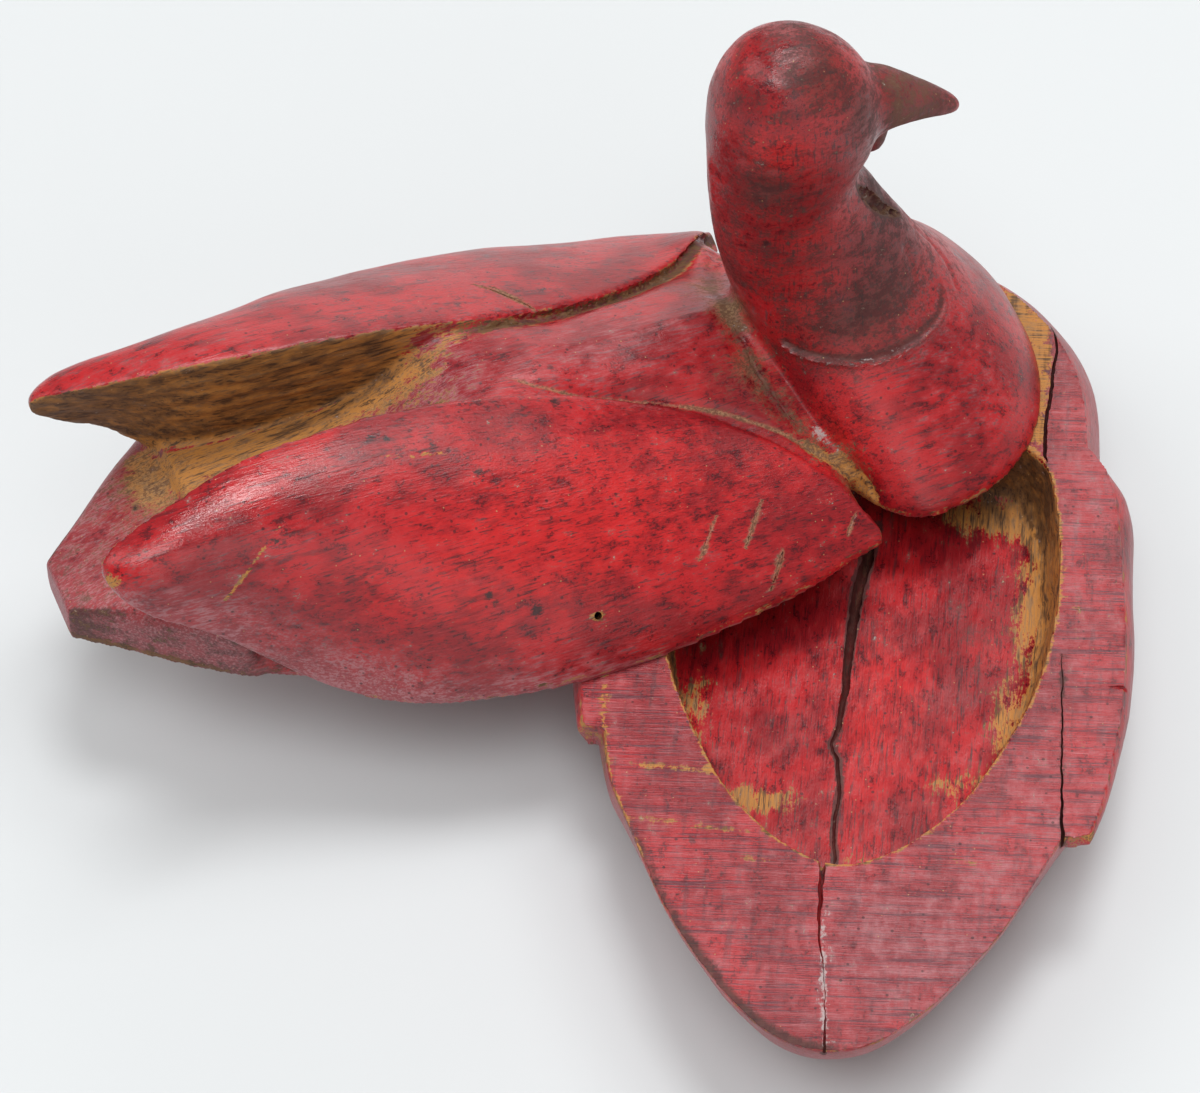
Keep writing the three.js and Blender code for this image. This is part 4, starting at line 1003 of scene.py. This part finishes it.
def dressLid(mesh):
    s = lidShape
    p, n, bend, layer = bareLayers(mesh)
    x, y, z = p.T
    inward = -np.sign(x) * n[:, 0]
    ridgeX = np.interp(y, *np.array(s["ridgeOut"]).T)
    ridgeZ = np.interp(y, *np.array(s["ridgeUp"]).T)
    under = np.where((z < 0.05) & (n[:, 2] < -0.7), 1.0, 0.0)
    raw, umberAndShade, grime, dry, dust = [layer[k] for k in ("rawWood", "umberAndShade", "grime", "dryPaint", "dust")]
    patched(layer, p, s["patches"])
    # the wings' raw inner faces, dark brown, and the scraped floor between them, tan and pink
    face = smooth(0.15, 0.45, inward) * smooth(-20, -32, y) * smooth(ridgeZ + 0.2, ridgeZ - 1.0, z)
    face = face * smooth(14, 17, z)
    raw += face * 1.2
    umberAndShade += face * (0.52 + 0.2 * smooth(-60, -80, y) - 0.35 * smooth(21, 16, z))
    grime += face * smooth(4.5, 0.5, ridgeZ - z) * 0.35
    crease = smooth(-24, -34, y) * smooth(ridgeX + 0.5, ridgeX - 0.5, np.abs(x)) * smooth(-4, -7, x)
    raw += crease * smooth(-72, -69, y) * smooth(0.3, 1.2, ridgeZ - z) * 0.9 * (1 - face)
    floor = smooth(-12, -26, y) * smooth(ridgeX + 1.5, ridgeX - 2, np.abs(x)) * smooth(0.2, 0.6, n[:, 2])
    floor = floor * smooth(-72, -69, y) * (1 - face)
    raw += floor * (0.46 + 0.22 * smooth(0, -7, x) - 0.12 * smooth(0, 4, x))
    umberAndShade += floor * 0.5 * smooth(-5.0, -8.0, x) * smooth(-64, -50, y)
    dry += floor * 0.8
    layer["fresh"] += floor * 0.2
    dust += floor * 0.25
    grime += near(p, s["tailStep"], 1.6) * 0.7
    # the seams along the wings' inner edges: a ragged one on the left, dark just under the wing's edge as
    # painted shadow, a dusty line on the right
    gap, along = lineGap(p, leftSeam(-26, 45, 1.2))
    below = smooth(0.3, -0.4, z - ridgeZ - leftLift(p)) * (x < 0) * np.where(np.abs(x) < ridgeX + 0.3, 1, 0)
    raw += smooth(3.2, 0.6, gap) * 0.55 * below
    umberAndShade += smooth(1.6, 0.7, gap) * below
    grime += smooth(1.3, 0.6, gap) * 0.9 * below
    upward = smooth(0.1, 0.4, n[:, 2]) * (z > 1)
    seam, along = planGap(p, s["nearSeam"])
    dust += smooth(0.8, 0.1, seam) * 0.7 * upward * smooth(0, 0.08, along) * smooth(0.9, 0.7, along)
    raw += smooth(2.2, 0.2, seam) * 0.75 * upward * smooth(0.72, 0.85, along)
    # dust rubbed into the hollow behind the neck; it is browner and darker along its crease
    for line in both(s["valley"]):
        gap, along = lineGap(p, line)
        dusty = (0.34 + 0.12 * smooth(0.45, 0.8, along)) * smooth(1.0, 0.8, along)
        dust += smooth(7, 0.5, gap) * dusty * (z > 0.5)
        umberAndShade += smooth(3.5, 0.8, gap) * 0.35
        raw += smooth(5.0, 0.6, gap) * (0.2 + 0.4 * smooth(0.6, 0.9, along))
        grime += smooth(2.2, 0.4, gap) * 0.5 * smooth(0.75, 0.4, along) + smooth(7, 1, gap) * 0.16
    # rubbed edges: ridge of the wings towards the tail, lower edges
    for line in both(ridgeLine(-90, -10, 0, 0)):
        raw += near(p, line, 0.8) * 0.3
        umberAndShade += near(p, line, 1.2) * 0.5
    raw += smooth(0.28, 0.55, bend) * 0.35
    # the tail's near side is dirty and dark, with painted shade under the wing tip; its end bevel grey
    tailSideInShade = smooth(0.35, 0.6, np.abs(n[:, 0])) * smooth(-52, -70, y) * smooth(13, 9, z)
    grime += tailSideInShade * 0.5 + smooth(-88, -93, y) * 0.25 + (y < -69) * smooth(0.3, 0.7, n[:, 2]) * 0.16
    raw += tailSideInShade * 0.25 * smooth(-66, -80, y)
    umberAndShade += tailSideInShade * 0.8
    dust += (y < -70) * (z < 18) * smooth(0.5, 0.8, n[:, 2]) * 0.25
    # dry, pinkish paint low on the sides, on the left wing, on the back and the tail; on the sides that face
    # down and out it is partly a painted reflection of the table
    dry += smooth(0.4, -0.1, n[:, 2]) * 0.6 * smooth(40, 20, y) + smooth(16, 2, z) * smooth(10, -20, y) * 0.35
    dry += np.where(x < -9, 0.12, 0.0) * smooth(30, 10, y) + np.where((y < -71) & (z < 18), 0.55, 0)
    # dirt round the neck and on the head, browner on the beak
    neck = smooth(33, 38, y) * smooth(17, 24, z) + smooth(26, 30, y) * smooth(34, 38, z)
    neck = np.clip(neck, 0, 1)
    layer["upright"] += smooth(20, 30, z) * smooth(26, 36, y)
    grime += neck * (0.4 + smooth(26, 32, z) * smooth(60, 50, z) * 0.1)
    dry += neck * smooth(52, 60, y) * 0.25
    beak = smooth(54.5, 61, y) * smooth(58, 62, z)
    grime += beak * (0.42 * smooth(75, 69, y) - 0.05 + 0.12 * smooth(68, 73, y))
    raw += beak * 0.12
    umberAndShade += beak * 0.5
    dust += beak * 0.36 * smooth(76, 66, y)
    # dirt and painted shade in the hollows, and a painted shade line along the lid's lower edge
    grime += smooth(-0.12, -0.45, bend) * 0.4 * (1 - face) + smooth(3, 0.3, z) * 0.2
    # cuts are dusty, the gouge is darker, and the wormhole black with a bare edge; the darkness inside cuts,
    # gouge and wormhole is painted shade
    for path, widths, dusty, dark in [(*cut, 0.7, 0.35) for cut in s["knifeCuts"]] + [(*s["gouge"], 0.5, 0.8)]:
        gap, along = lineGap(p, path)
        wide = widthAt(along, widths)
        inside = smooth(wide + 0.45, wide * 0.8, gap)
        dust += inside * dusty
        umberAndShade += inside * 0.4
        grime += inside * dark
    gap, along = lineGap(p, s["wormHole"][0])
    wide = widthAt(along, s["wormHole"][1])
    grime += smooth(wide + 0.2, wide * 0.8, gap) * 1.3
    raw += smooth(1.15, 0.85, gap) * 0.4
    for path, width, much in s["scratches"]:
        raw += near(p, path, width) * much
    # the collar's lip is shiny, with a painted highlight along it and painted shade just above it
    turn, above, onNeck = collarPlace(p)
    lip = np.exp(-((above + 0.3) / 0.3) ** 2) * onNeck * smooth(56, 66, turn) * smooth(142, 138, turn)
    layer["fillerAndHighlight"] += lip * 0.26 + near(p, s["valleySpot"], 2.2) * 0.6
    layer["polish"] += lip
    dark = np.exp(-((above - 0.3) / 0.5) ** 2) * (z > 17) * (y > 34) * (z < 40)
    grime += dark * smooth(20, 34, turn) * 0.35 * smooth(143, 136, turn)
    # the sawn underside
    dry += under * 0.8
    raw *= 1 - under
    layer["sawn"] += under
    return layer


paintLook = {  # worn red paint on a pale, close-grained wood
    # besides their own colour, dirt and umber also serve as painted shade, dry paint and the saw's pale stripes
    # as painted sheen, filler as a painted highlight
    "deep": "8a131b", "bright": "b21a20", "fresh": "ca1f20", "dark": "381018", "brush": "b83e44",
    "dry": "8a363d", "dryLight": "a96e73", "sawDark": "5a2430", "sawPaleSheen": "b88288",
    "ochre": "b67a38", "tan": "987048", "umberAndShade": "593a1f", "fibre": "38210f", "dirtAndShade": "2e1a17",
    "greyDirtAndShade": "46322b", "dust": "a3835f", "dustDark": "6b4a35", "fillerAndHighlight": "b4aaa8", "black": "1c1719",
    "pale": "b08a5e",
    # mark sizes in mm along x, y and z, the finest drawn as coarse as they need to show; detail, roughness
    "grainSizes": {
        "grain": ((0.30, 5.0, 0.45), 2.0, 0.65),
        "fibre": ((0.45, 0.55, 4.0), 2.0, 0.65),
        "brush": ((1.3, 9.0, 1.8), 2.0, 0.6),
        "clouds": ((12.0, 16.0, 12.0), 2.0, 0.55),
        "blots": ((2.4, 4.2, 2.4), 4.0, 0.66),
        "flecks": ((0.45, 0.7, 0.45), 2.0, 0.7),
        "saw": ((9.0, 0.32, 3.0), 3.0, 0.75),
        "sawWide": ((18.0, 1.6, 4.0), 1.0, 0.5)},
    "specks": {"dark": (1.9, 0.62, 0.15), "pale": (1.5, 0.75, 0.09)},  # spacing in mm, rarity, radius
    "speckStrength": 0.75,
    "spots": {"ragged": 2.4, "outer": 1.5, "inner": 0.9, "strength": 0.88},
    # each mask: layer or level it starts from, noise added to it, where it begins and ends, how strong
    "masks": {
        "clouds": (0.5, {"clouds": 1.0, "blots": 0.3}, 0.38, 0.62, 1.0),
        "fresh": ("fresh", {"brush": 1.0, "blots": 1.0}, 0.20, 0.70, 0.75),
        "grain": (0.5, {"line": 1.0, "flecks": 0.3}, 0.54, 0.72, 0.8),
        "brushDark": (0.5, {"brush": 1.0, "line": 0.4}, 0.53, 0.72, 0.55),
        "brushLight": (0.5, {"line": -1.0, "brush": -0.5}, 0.58, 0.80, 0.35),
        "smudge": (0.5, {"blots": -1.0, "flecks": -0.6}, 0.57, 0.72, 0.72),
        "dry": ("dryPaint", {"blots": 1.1, "line": 0.7, "clouds": 0.6}, 0.05, 1.05, 0.9),
        "dryTone": (0.5, {"line": 1.0, "blots": 0.6}, 0.38, 0.66, 1.0),
        "sawDark": ("sawn", {"saw": 3.0, "sawWide": 1.6}, 0.95, 1.6, 0.9),
        # the saw's pale stripes are partly painted sheen
        "sawPaleSheen": ("sawn", {"saw": -3.0, "sawWide": -1.2}, 1.1, 2.0, 0.55),
        "grime": ("grime", {"blots": 1.4, "flecks": 0.8}, 0.24, 0.85, 0.82),
        "grimeTone": (0.5, {"blots": -1.0}, 0.42, 0.6, 1.0),
        "wood": ("rawWood", {"blots": 1.7, "line": 1.0, "flecks": 0.8}, 0.40, 0.62, 1.0),
        "woodTone": (0.5, {"line": 1.0, "blots": 0.5}, 0.46, 0.64, 1.0),
        "umberAndShade": ("umberAndShade", {"blots": 0.9, "brush": 0.9}, 0.15, 0.85, 0.9),
        "fibres": (0.5, {"line": 1.0, "brush": 0.8}, 0.52, 0.72, 0.75),
        "dust": ("dust", {"blots": 1.5, "flecks": 1.3}, 0.18, 0.85, 0.85),
        "dustTone": (0.5, {"flecks": 1.0, "blots": 0.6}, 0.42, 0.62, 1.0),
        "fillerAndHighlight": ("fillerAndHighlight", {"blots": 1.8, "flecks": 1.0}, 0.35, 0.70, 0.75)},
    "gloss": {  # roughness
        "paintLow": 0.26, "paintHigh": 0.40, "dry": 0.48, "saw": 0.38, "dull": 0.70, "dust": 0.85,
        "polish": 0.13},
    "relief": {"line": 0.05, "brush": 0.09, "flecks": 0.05}, "sawRelief": 0.15,  # in mm
}


def paintedWood(name, place, turn, spots, look):
    # old oil paint brushed thinly over close-grained carved wood: a hard red skin with a soft sheen, pinkish
    # and dull where it went on dry and paler where sheen and a reflection are painted, worn through to ochre
    # and brown wood on edges, darker with dirt and painted shade in creases and hollows, dusty in the hollows
    mat = bpy.data.materials.new(name)
    mat.use_nodes = True
    tree = mat.node_tree
    tree.nodes.clear()
    coords = addNode(tree, "ShaderNodeTexCoord", {})
    spot = addNode(tree, "ShaderNodeMapping", {  # in millimetres, as the piece lay when it was carved
        "Vector": coords.outputs["Object"], "Location": place, "Rotation": (0, 0, math.radians(turn)),
        "Scale": [1 / common["mm"]] * 3})
    layer = {key: addNode(tree, "ShaderNodeAttribute", {"attribute_name": key}).outputs["Fac"]
             for key in layerNames}
    field = {}
    for key, (size, detail, rough) in look["grainSizes"].items():
        lean = math.radians(baseShape["sawTurn"]) if key.startswith("saw") else 0
        sized = addNode(tree, "ShaderNodeMapping", {"vector_type": "TEXTURE", "Vector": spot, "Scale": size,
                                                    "Rotation": (0, 0, lean)})
        field[key] = addNode(tree, "ShaderNodeTexNoise", {"Vector": sized, "Scale": 1.0, "Detail": detail,
                                                          "Roughness": rough}).outputs[0]
    # the grain runs along the body and up the neck, and the saw has drawn it across the rim
    field["line"] = field["grain"]
    for factor, other in (("upright", "fibre"), ("sawn", "saw")):
        blend = addNode(tree, "ShaderNodeMix", {"data_type": "FLOAT", 0: layer[factor], 2: field["line"],
                                                3: field[other]})
        field["line"] = blend.outputs[0]
    mask = {}
    for key, (start, added, low, high, top) in look["masks"].items():
        value, shift = layer.get(start, start), 0.0
        for other, weight in added.items():
            value = addNode(tree, "ShaderNodeMath", {"operation": "MULTIPLY_ADD", 0: field[other], 1: weight,
                                                     2: value})
            shift += 0.5 * weight
        mask[key] = addNode(tree, "ShaderNodeMapRange", {"interpolation_type": "SMOOTHSTEP", "Value": value,
                                                         "From Min": low + shift, "From Max": high + shift,
                                                         "To Min": 0.0, "To Max": top})
    for key in ("sawDark", "sawPaleSheen"):
        mask[key] = addNode(tree, "ShaderNodeMath", {"operation": "MULTIPLY", 0: mask[key], 1: layer["sawn"]})
    for key, (spacing, rarity, radius) in look["specks"].items():
        cell = addNode(tree, "ShaderNodeTexVoronoi", {"Vector": spot, "Scale": 1 / spacing})
        lift = addNode(tree, "ShaderNodeMapRange", {"Value": cell.outputs["Color"], "From Min": 1 - rarity,
                                                    "From Max": 1.0, "To Min": 0.0, "To Max": 0.5})
        far = addNode(tree, "ShaderNodeMath", {"operation": "ADD", 0: cell.outputs["Distance"], 1: lift})
        mask[key + "Speck"] = addNode(tree, "ShaderNodeMapRange", {
            "interpolation_type": "SMOOTHSTEP", "Value": far, "From Min": radius * 1.3,
            "From Max": radius * 0.7, "To Min": 0.0, "To Max": look["speckStrength"]})
    nearest = 1e3  # old black spots in the paint
    for x, y, z, r in spots:
        gap = addNode(tree, "ShaderNodeVectorMath", {"operation": "DISTANCE", 0: spot, 1: (x, y, z)})
        gap = addNode(tree, "ShaderNodeMath", {"operation": "SUBTRACT", 0: gap, 1: r})
        nearest = addNode(tree, "ShaderNodeMath", {"operation": "MINIMUM", 0: gap, 1: nearest})
    edge = look["spots"]
    ragged = addNode(tree, "ShaderNodeMath", {"operation": "MULTIPLY_ADD", 0: field["flecks"],
                                              1: edge["ragged"], 2: nearest})
    mask["black"] = addNode(tree, "ShaderNodeMapRange", {
        "Value": ragged, "From Min": edge["outer"], "From Max": edge["inner"],
        "To Min": 0.0, "To Max": edge["strength"]})
    tone = {"wood": look["ochre"], "dry": look["dry"], "dirtAndShade": look["dirtAndShade"], "dust": look["dust"]}
    for key, factor, tint in (("wood", "woodTone", "tan"), ("wood", "umberAndShade", "umberAndShade"),
                              ("wood", "fibres", "fibre"), ("dry", "dryTone", "dryLight"),
                              ("dirtAndShade", "grimeTone", "greyDirtAndShade"), ("dust", "dustTone", "dustDark")):
        tone[key] = addNode(tree, "ShaderNodeMix", {"data_type": "RGBA", 0: mask[factor], 6: tone[key],
                                                    7: look[tint]})
    surface = look["deep"]
    for factor, tint in (("clouds", look["bright"]), ("fresh", look["fresh"]), ("brushLight", look["brush"]),
                         ("grain", look["dark"]), ("brushDark", look["dark"]), ("smudge", look["dark"]),
                         ("dry", tone["dry"]), ("sawPaleSheen", look["sawPaleSheen"]), ("sawDark", look["sawDark"]),
                         ("darkSpeck", look["dark"]), ("grime", tone["dirtAndShade"]), ("wood", tone["wood"]),
                         ("dust", tone["dust"]), ("fillerAndHighlight", look["fillerAndHighlight"]), ("paleSpeck", look["pale"]),
                         ("black", look["black"])):
        surface = addNode(tree, "ShaderNodeMix", {"data_type": "RGBA", 0: mask[factor], 6: surface, 7: tint})
    gloss = look["gloss"]
    rough = addNode(tree, "ShaderNodeMapRange", {"Value": field["blots"], "From Min": 0.3, "From Max": 0.7,
                                                 "To Min": gloss["paintLow"], "To Max": gloss["paintHigh"]})
    for factor, value in ((mask["dry"], gloss["dry"]), (layer["sawn"], gloss["saw"]),
                          (layer["polish"], gloss["polish"]), (mask["grime"], gloss["dull"]),
                          (mask["wood"], gloss["dull"]), (mask["dust"], gloss["dust"])):
        rough = addNode(tree, "ShaderNodeMix", {"data_type": "FLOAT", 0: factor, 2: rough, 3: value})
    height = 0.0
    for key, depth in look["relief"].items():
        height = addNode(tree, "ShaderNodeMath", {"operation": "MULTIPLY_ADD", 0: field[key], 1: depth,
                                                  2: height})
    furrow = addNode(tree, "ShaderNodeMath", {"operation": "MULTIPLY", 0: layer["sawn"], 1: field["saw"]})
    height = addNode(tree, "ShaderNodeMath", {"operation": "MULTIPLY_ADD", 0: furrow, 1: look["sawRelief"],
                                              2: height})
    bump = addNode(tree, "ShaderNodeBump", {"Strength": 1.0, "Distance": 0.001, "Height": height})
    shader = addNode(tree, "ShaderNodeBsdfPrincipled", {"IOR": 1.5, "Base Color": surface, "Roughness": rough,
                                                        "Normal": bump})
    addNode(tree, "ShaderNodeOutputMaterial", {"Surface": shader})
    return mat


def finished(obj, name, layers, material, lid):  # layers on the closed piece, then metres and its place
    mesh = obj.data
    mesh.materials.clear()
    mesh.materials.append(material)
    mesh.polygons.foreach_set("material_index", np.zeros(len(mesh.polygons), np.int32))
    for attribute in [a.name for a in mesh.attributes if a.name in ("carveMask", "halfWidth")]:
        mesh.attributes.remove(mesh.attributes[attribute])
    for key, values in layers.items():
        floatLayer(mesh, key, np.clip(values, -2, 2))
    p = positions(mesh)
    if lid:
        c, s = math.cos(math.radians(common["openAngle"])), math.sin(math.radians(common["openAngle"]))
        x, y = p[:, 0].copy(), p[:, 1] - common["pegY"]
        p[:, 0], p[:, 1] = c * x - s * y, s * x + c * y + common["pegY"]
        p[:, 2] += common["baseHeight"] + common["partingGap"]
    setPositions(mesh, p * common["mm"])
    mesh.polygons.foreach_set("use_smooth", np.ones(len(mesh.polygons), bool))
    mesh.set_sharp_from_angle(angle=math.radians(common["sharpAngle"]))
    obj.name = mesh.name = name
    return obj


blackSpots = [  # on the lid, in its own closed place: x, y, z, radius in mm
    (11.9, -6.4, 30.2, 0.95), (13.9, -40.9, 38.4, 0.6), (14.6, -38.4, 38.0, 0.5), (17.3, -30.9, 35.8, 0.45),
    (42.4, -21.8, 15.2, 1.0), (39.3, -29.5, 19.7, 0.7), (40.2, -28.6, 18.2, 0.45), (23.0, -24.8, 32.2, 0.8),
    (25.7, -62.6, 34.3, 0.5), (-6.7, -78.2, 13.8, 0.6), (8.9, 34.6, 51.7, 0.7),
]


studio = {
    "lens": 150, "sensor": 36,  # mm, a long lens 51 degrees above the table, solved from the photograph
    "cameraPlace": (0.0060079, -0.5441769, 0.71966), "cameraAim": (-0.0464552, 0.0134558, 0.028),
    "table": "cfd3d5", "tableSide": 5.0, "tableRoughness": 0.6, "skyTint": "fffbf6", "sky": 0.3,
    "windows": [  # direction from +Y towards +X, height and width of each patch of light in degrees, strength
        (8, 77, 18, 1.05), (180, 66, 30, 1.0), (45, 62, 30, 0.65), (270, 44, 34, 0.52), (225, 60, 34, 0.28),
        (0, 22, 34, 0.42), (150, 22, 40, 0.4)],
}


def makeCamera():
    data = bpy.data.cameras.new("camera")
    data.sensor_width, data.lens = studio["sensor"], studio["lens"]
    data.clip_start, data.clip_end = 0.01, 10
    obj = linked("camera", data)
    obj.location = studio["cameraPlace"]
    toAim = Vector(studio["cameraAim"]) - Vector(studio["cameraPlace"])
    obj.rotation_euler = toAim.to_track_quat("-Z", "Y").to_euler()
    bpy.context.scene.camera = obj


def makeStudio():  # a pale laminate table with a faint, soft sheen, under an even sky and seven broad windows
    half = studio["tableSide"] / 2
    table = meshObject("table", [(-half, -half, 0), (half, -half, 0), (half, half, 0), (-half, half, 0)],
                       [(0, 1, 2, 3)])
    mat = bpy.data.materials.new("paleLaminate")
    mat.use_nodes = True
    shader = mat.node_tree.nodes["Principled BSDF"]
    shader.inputs["Base Color"].default_value = linear(studio["table"])
    shader.inputs["Roughness"].default_value = studio["tableRoughness"]
    table.data.materials.append(mat)
    world = bpy.data.worlds.new("studio")
    bpy.context.scene.world = world
    world.use_nodes = True
    tree = world.node_tree
    tree.nodes.clear()
    sky = addNode(tree, "ShaderNodeBackground", {"Color": studio["skyTint"], "Strength": studio["sky"]})
    addNode(tree, "ShaderNodeOutputWorld", {"Surface": sky})
    for turn, height, wide, power in studio["windows"]:
        lamp = bpy.data.lights.new("window", "SUN")
        lamp.energy, lamp.angle = power, math.radians(wide)
        obj = linked("window", lamp)
        a, b = math.radians(turn), math.radians(height)
        toLight = Vector((math.sin(a) * math.cos(b), math.cos(a) * math.cos(b), math.sin(b)))
        obj.location = toLight * 2
        obj.rotation_euler = toLight.to_track_quat("Z", "Y").to_euler()
    bpy.context.scene.view_settings.view_transform = "Standard"


makeCamera()
makeStudio()
say("camera, table and light are in place")

blank = bpy.data.materials.new("blankWood")
groove, relief = grooveTree(), reliefTree()

baseMesh = carveBase(groove, relief, blank)
say("base carved, %d faces" % len(baseMesh.data.polygons))
basePaint = paintedWood("wornRedPaintOnBase", (0, 0, 0), 0.0, [], paintLook)
base = finished(baseMesh, "base_carved", dressBase(baseMesh.data), basePaint, False)

lidMesh = carveLid(groove, relief, blank)
say("lid carved, %d faces" % len(lidMesh.data.polygons))
openTurn = math.radians(-common["openAngle"])  # the lid's pattern is laid on it as it lies closed
lidPlace = (common["pegY"] * math.sin(openTurn), common["pegY"] * (1 - math.cos(openTurn)),
            -common["baseHeight"] - common["partingGap"])
lidPaint = paintedWood("wornRedPaintOnLid", lidPlace, -common["openAngle"], blackSpots, paintLook)
lid = finished(lidMesh, "lid_carved", dressLid(lidMesh.data), lidPaint, True)
bpy.data.materials.remove(blank)

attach(base, "base")
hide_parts("base")
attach(lid, "lid")
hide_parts("lid")

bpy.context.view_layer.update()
say("sizes written")
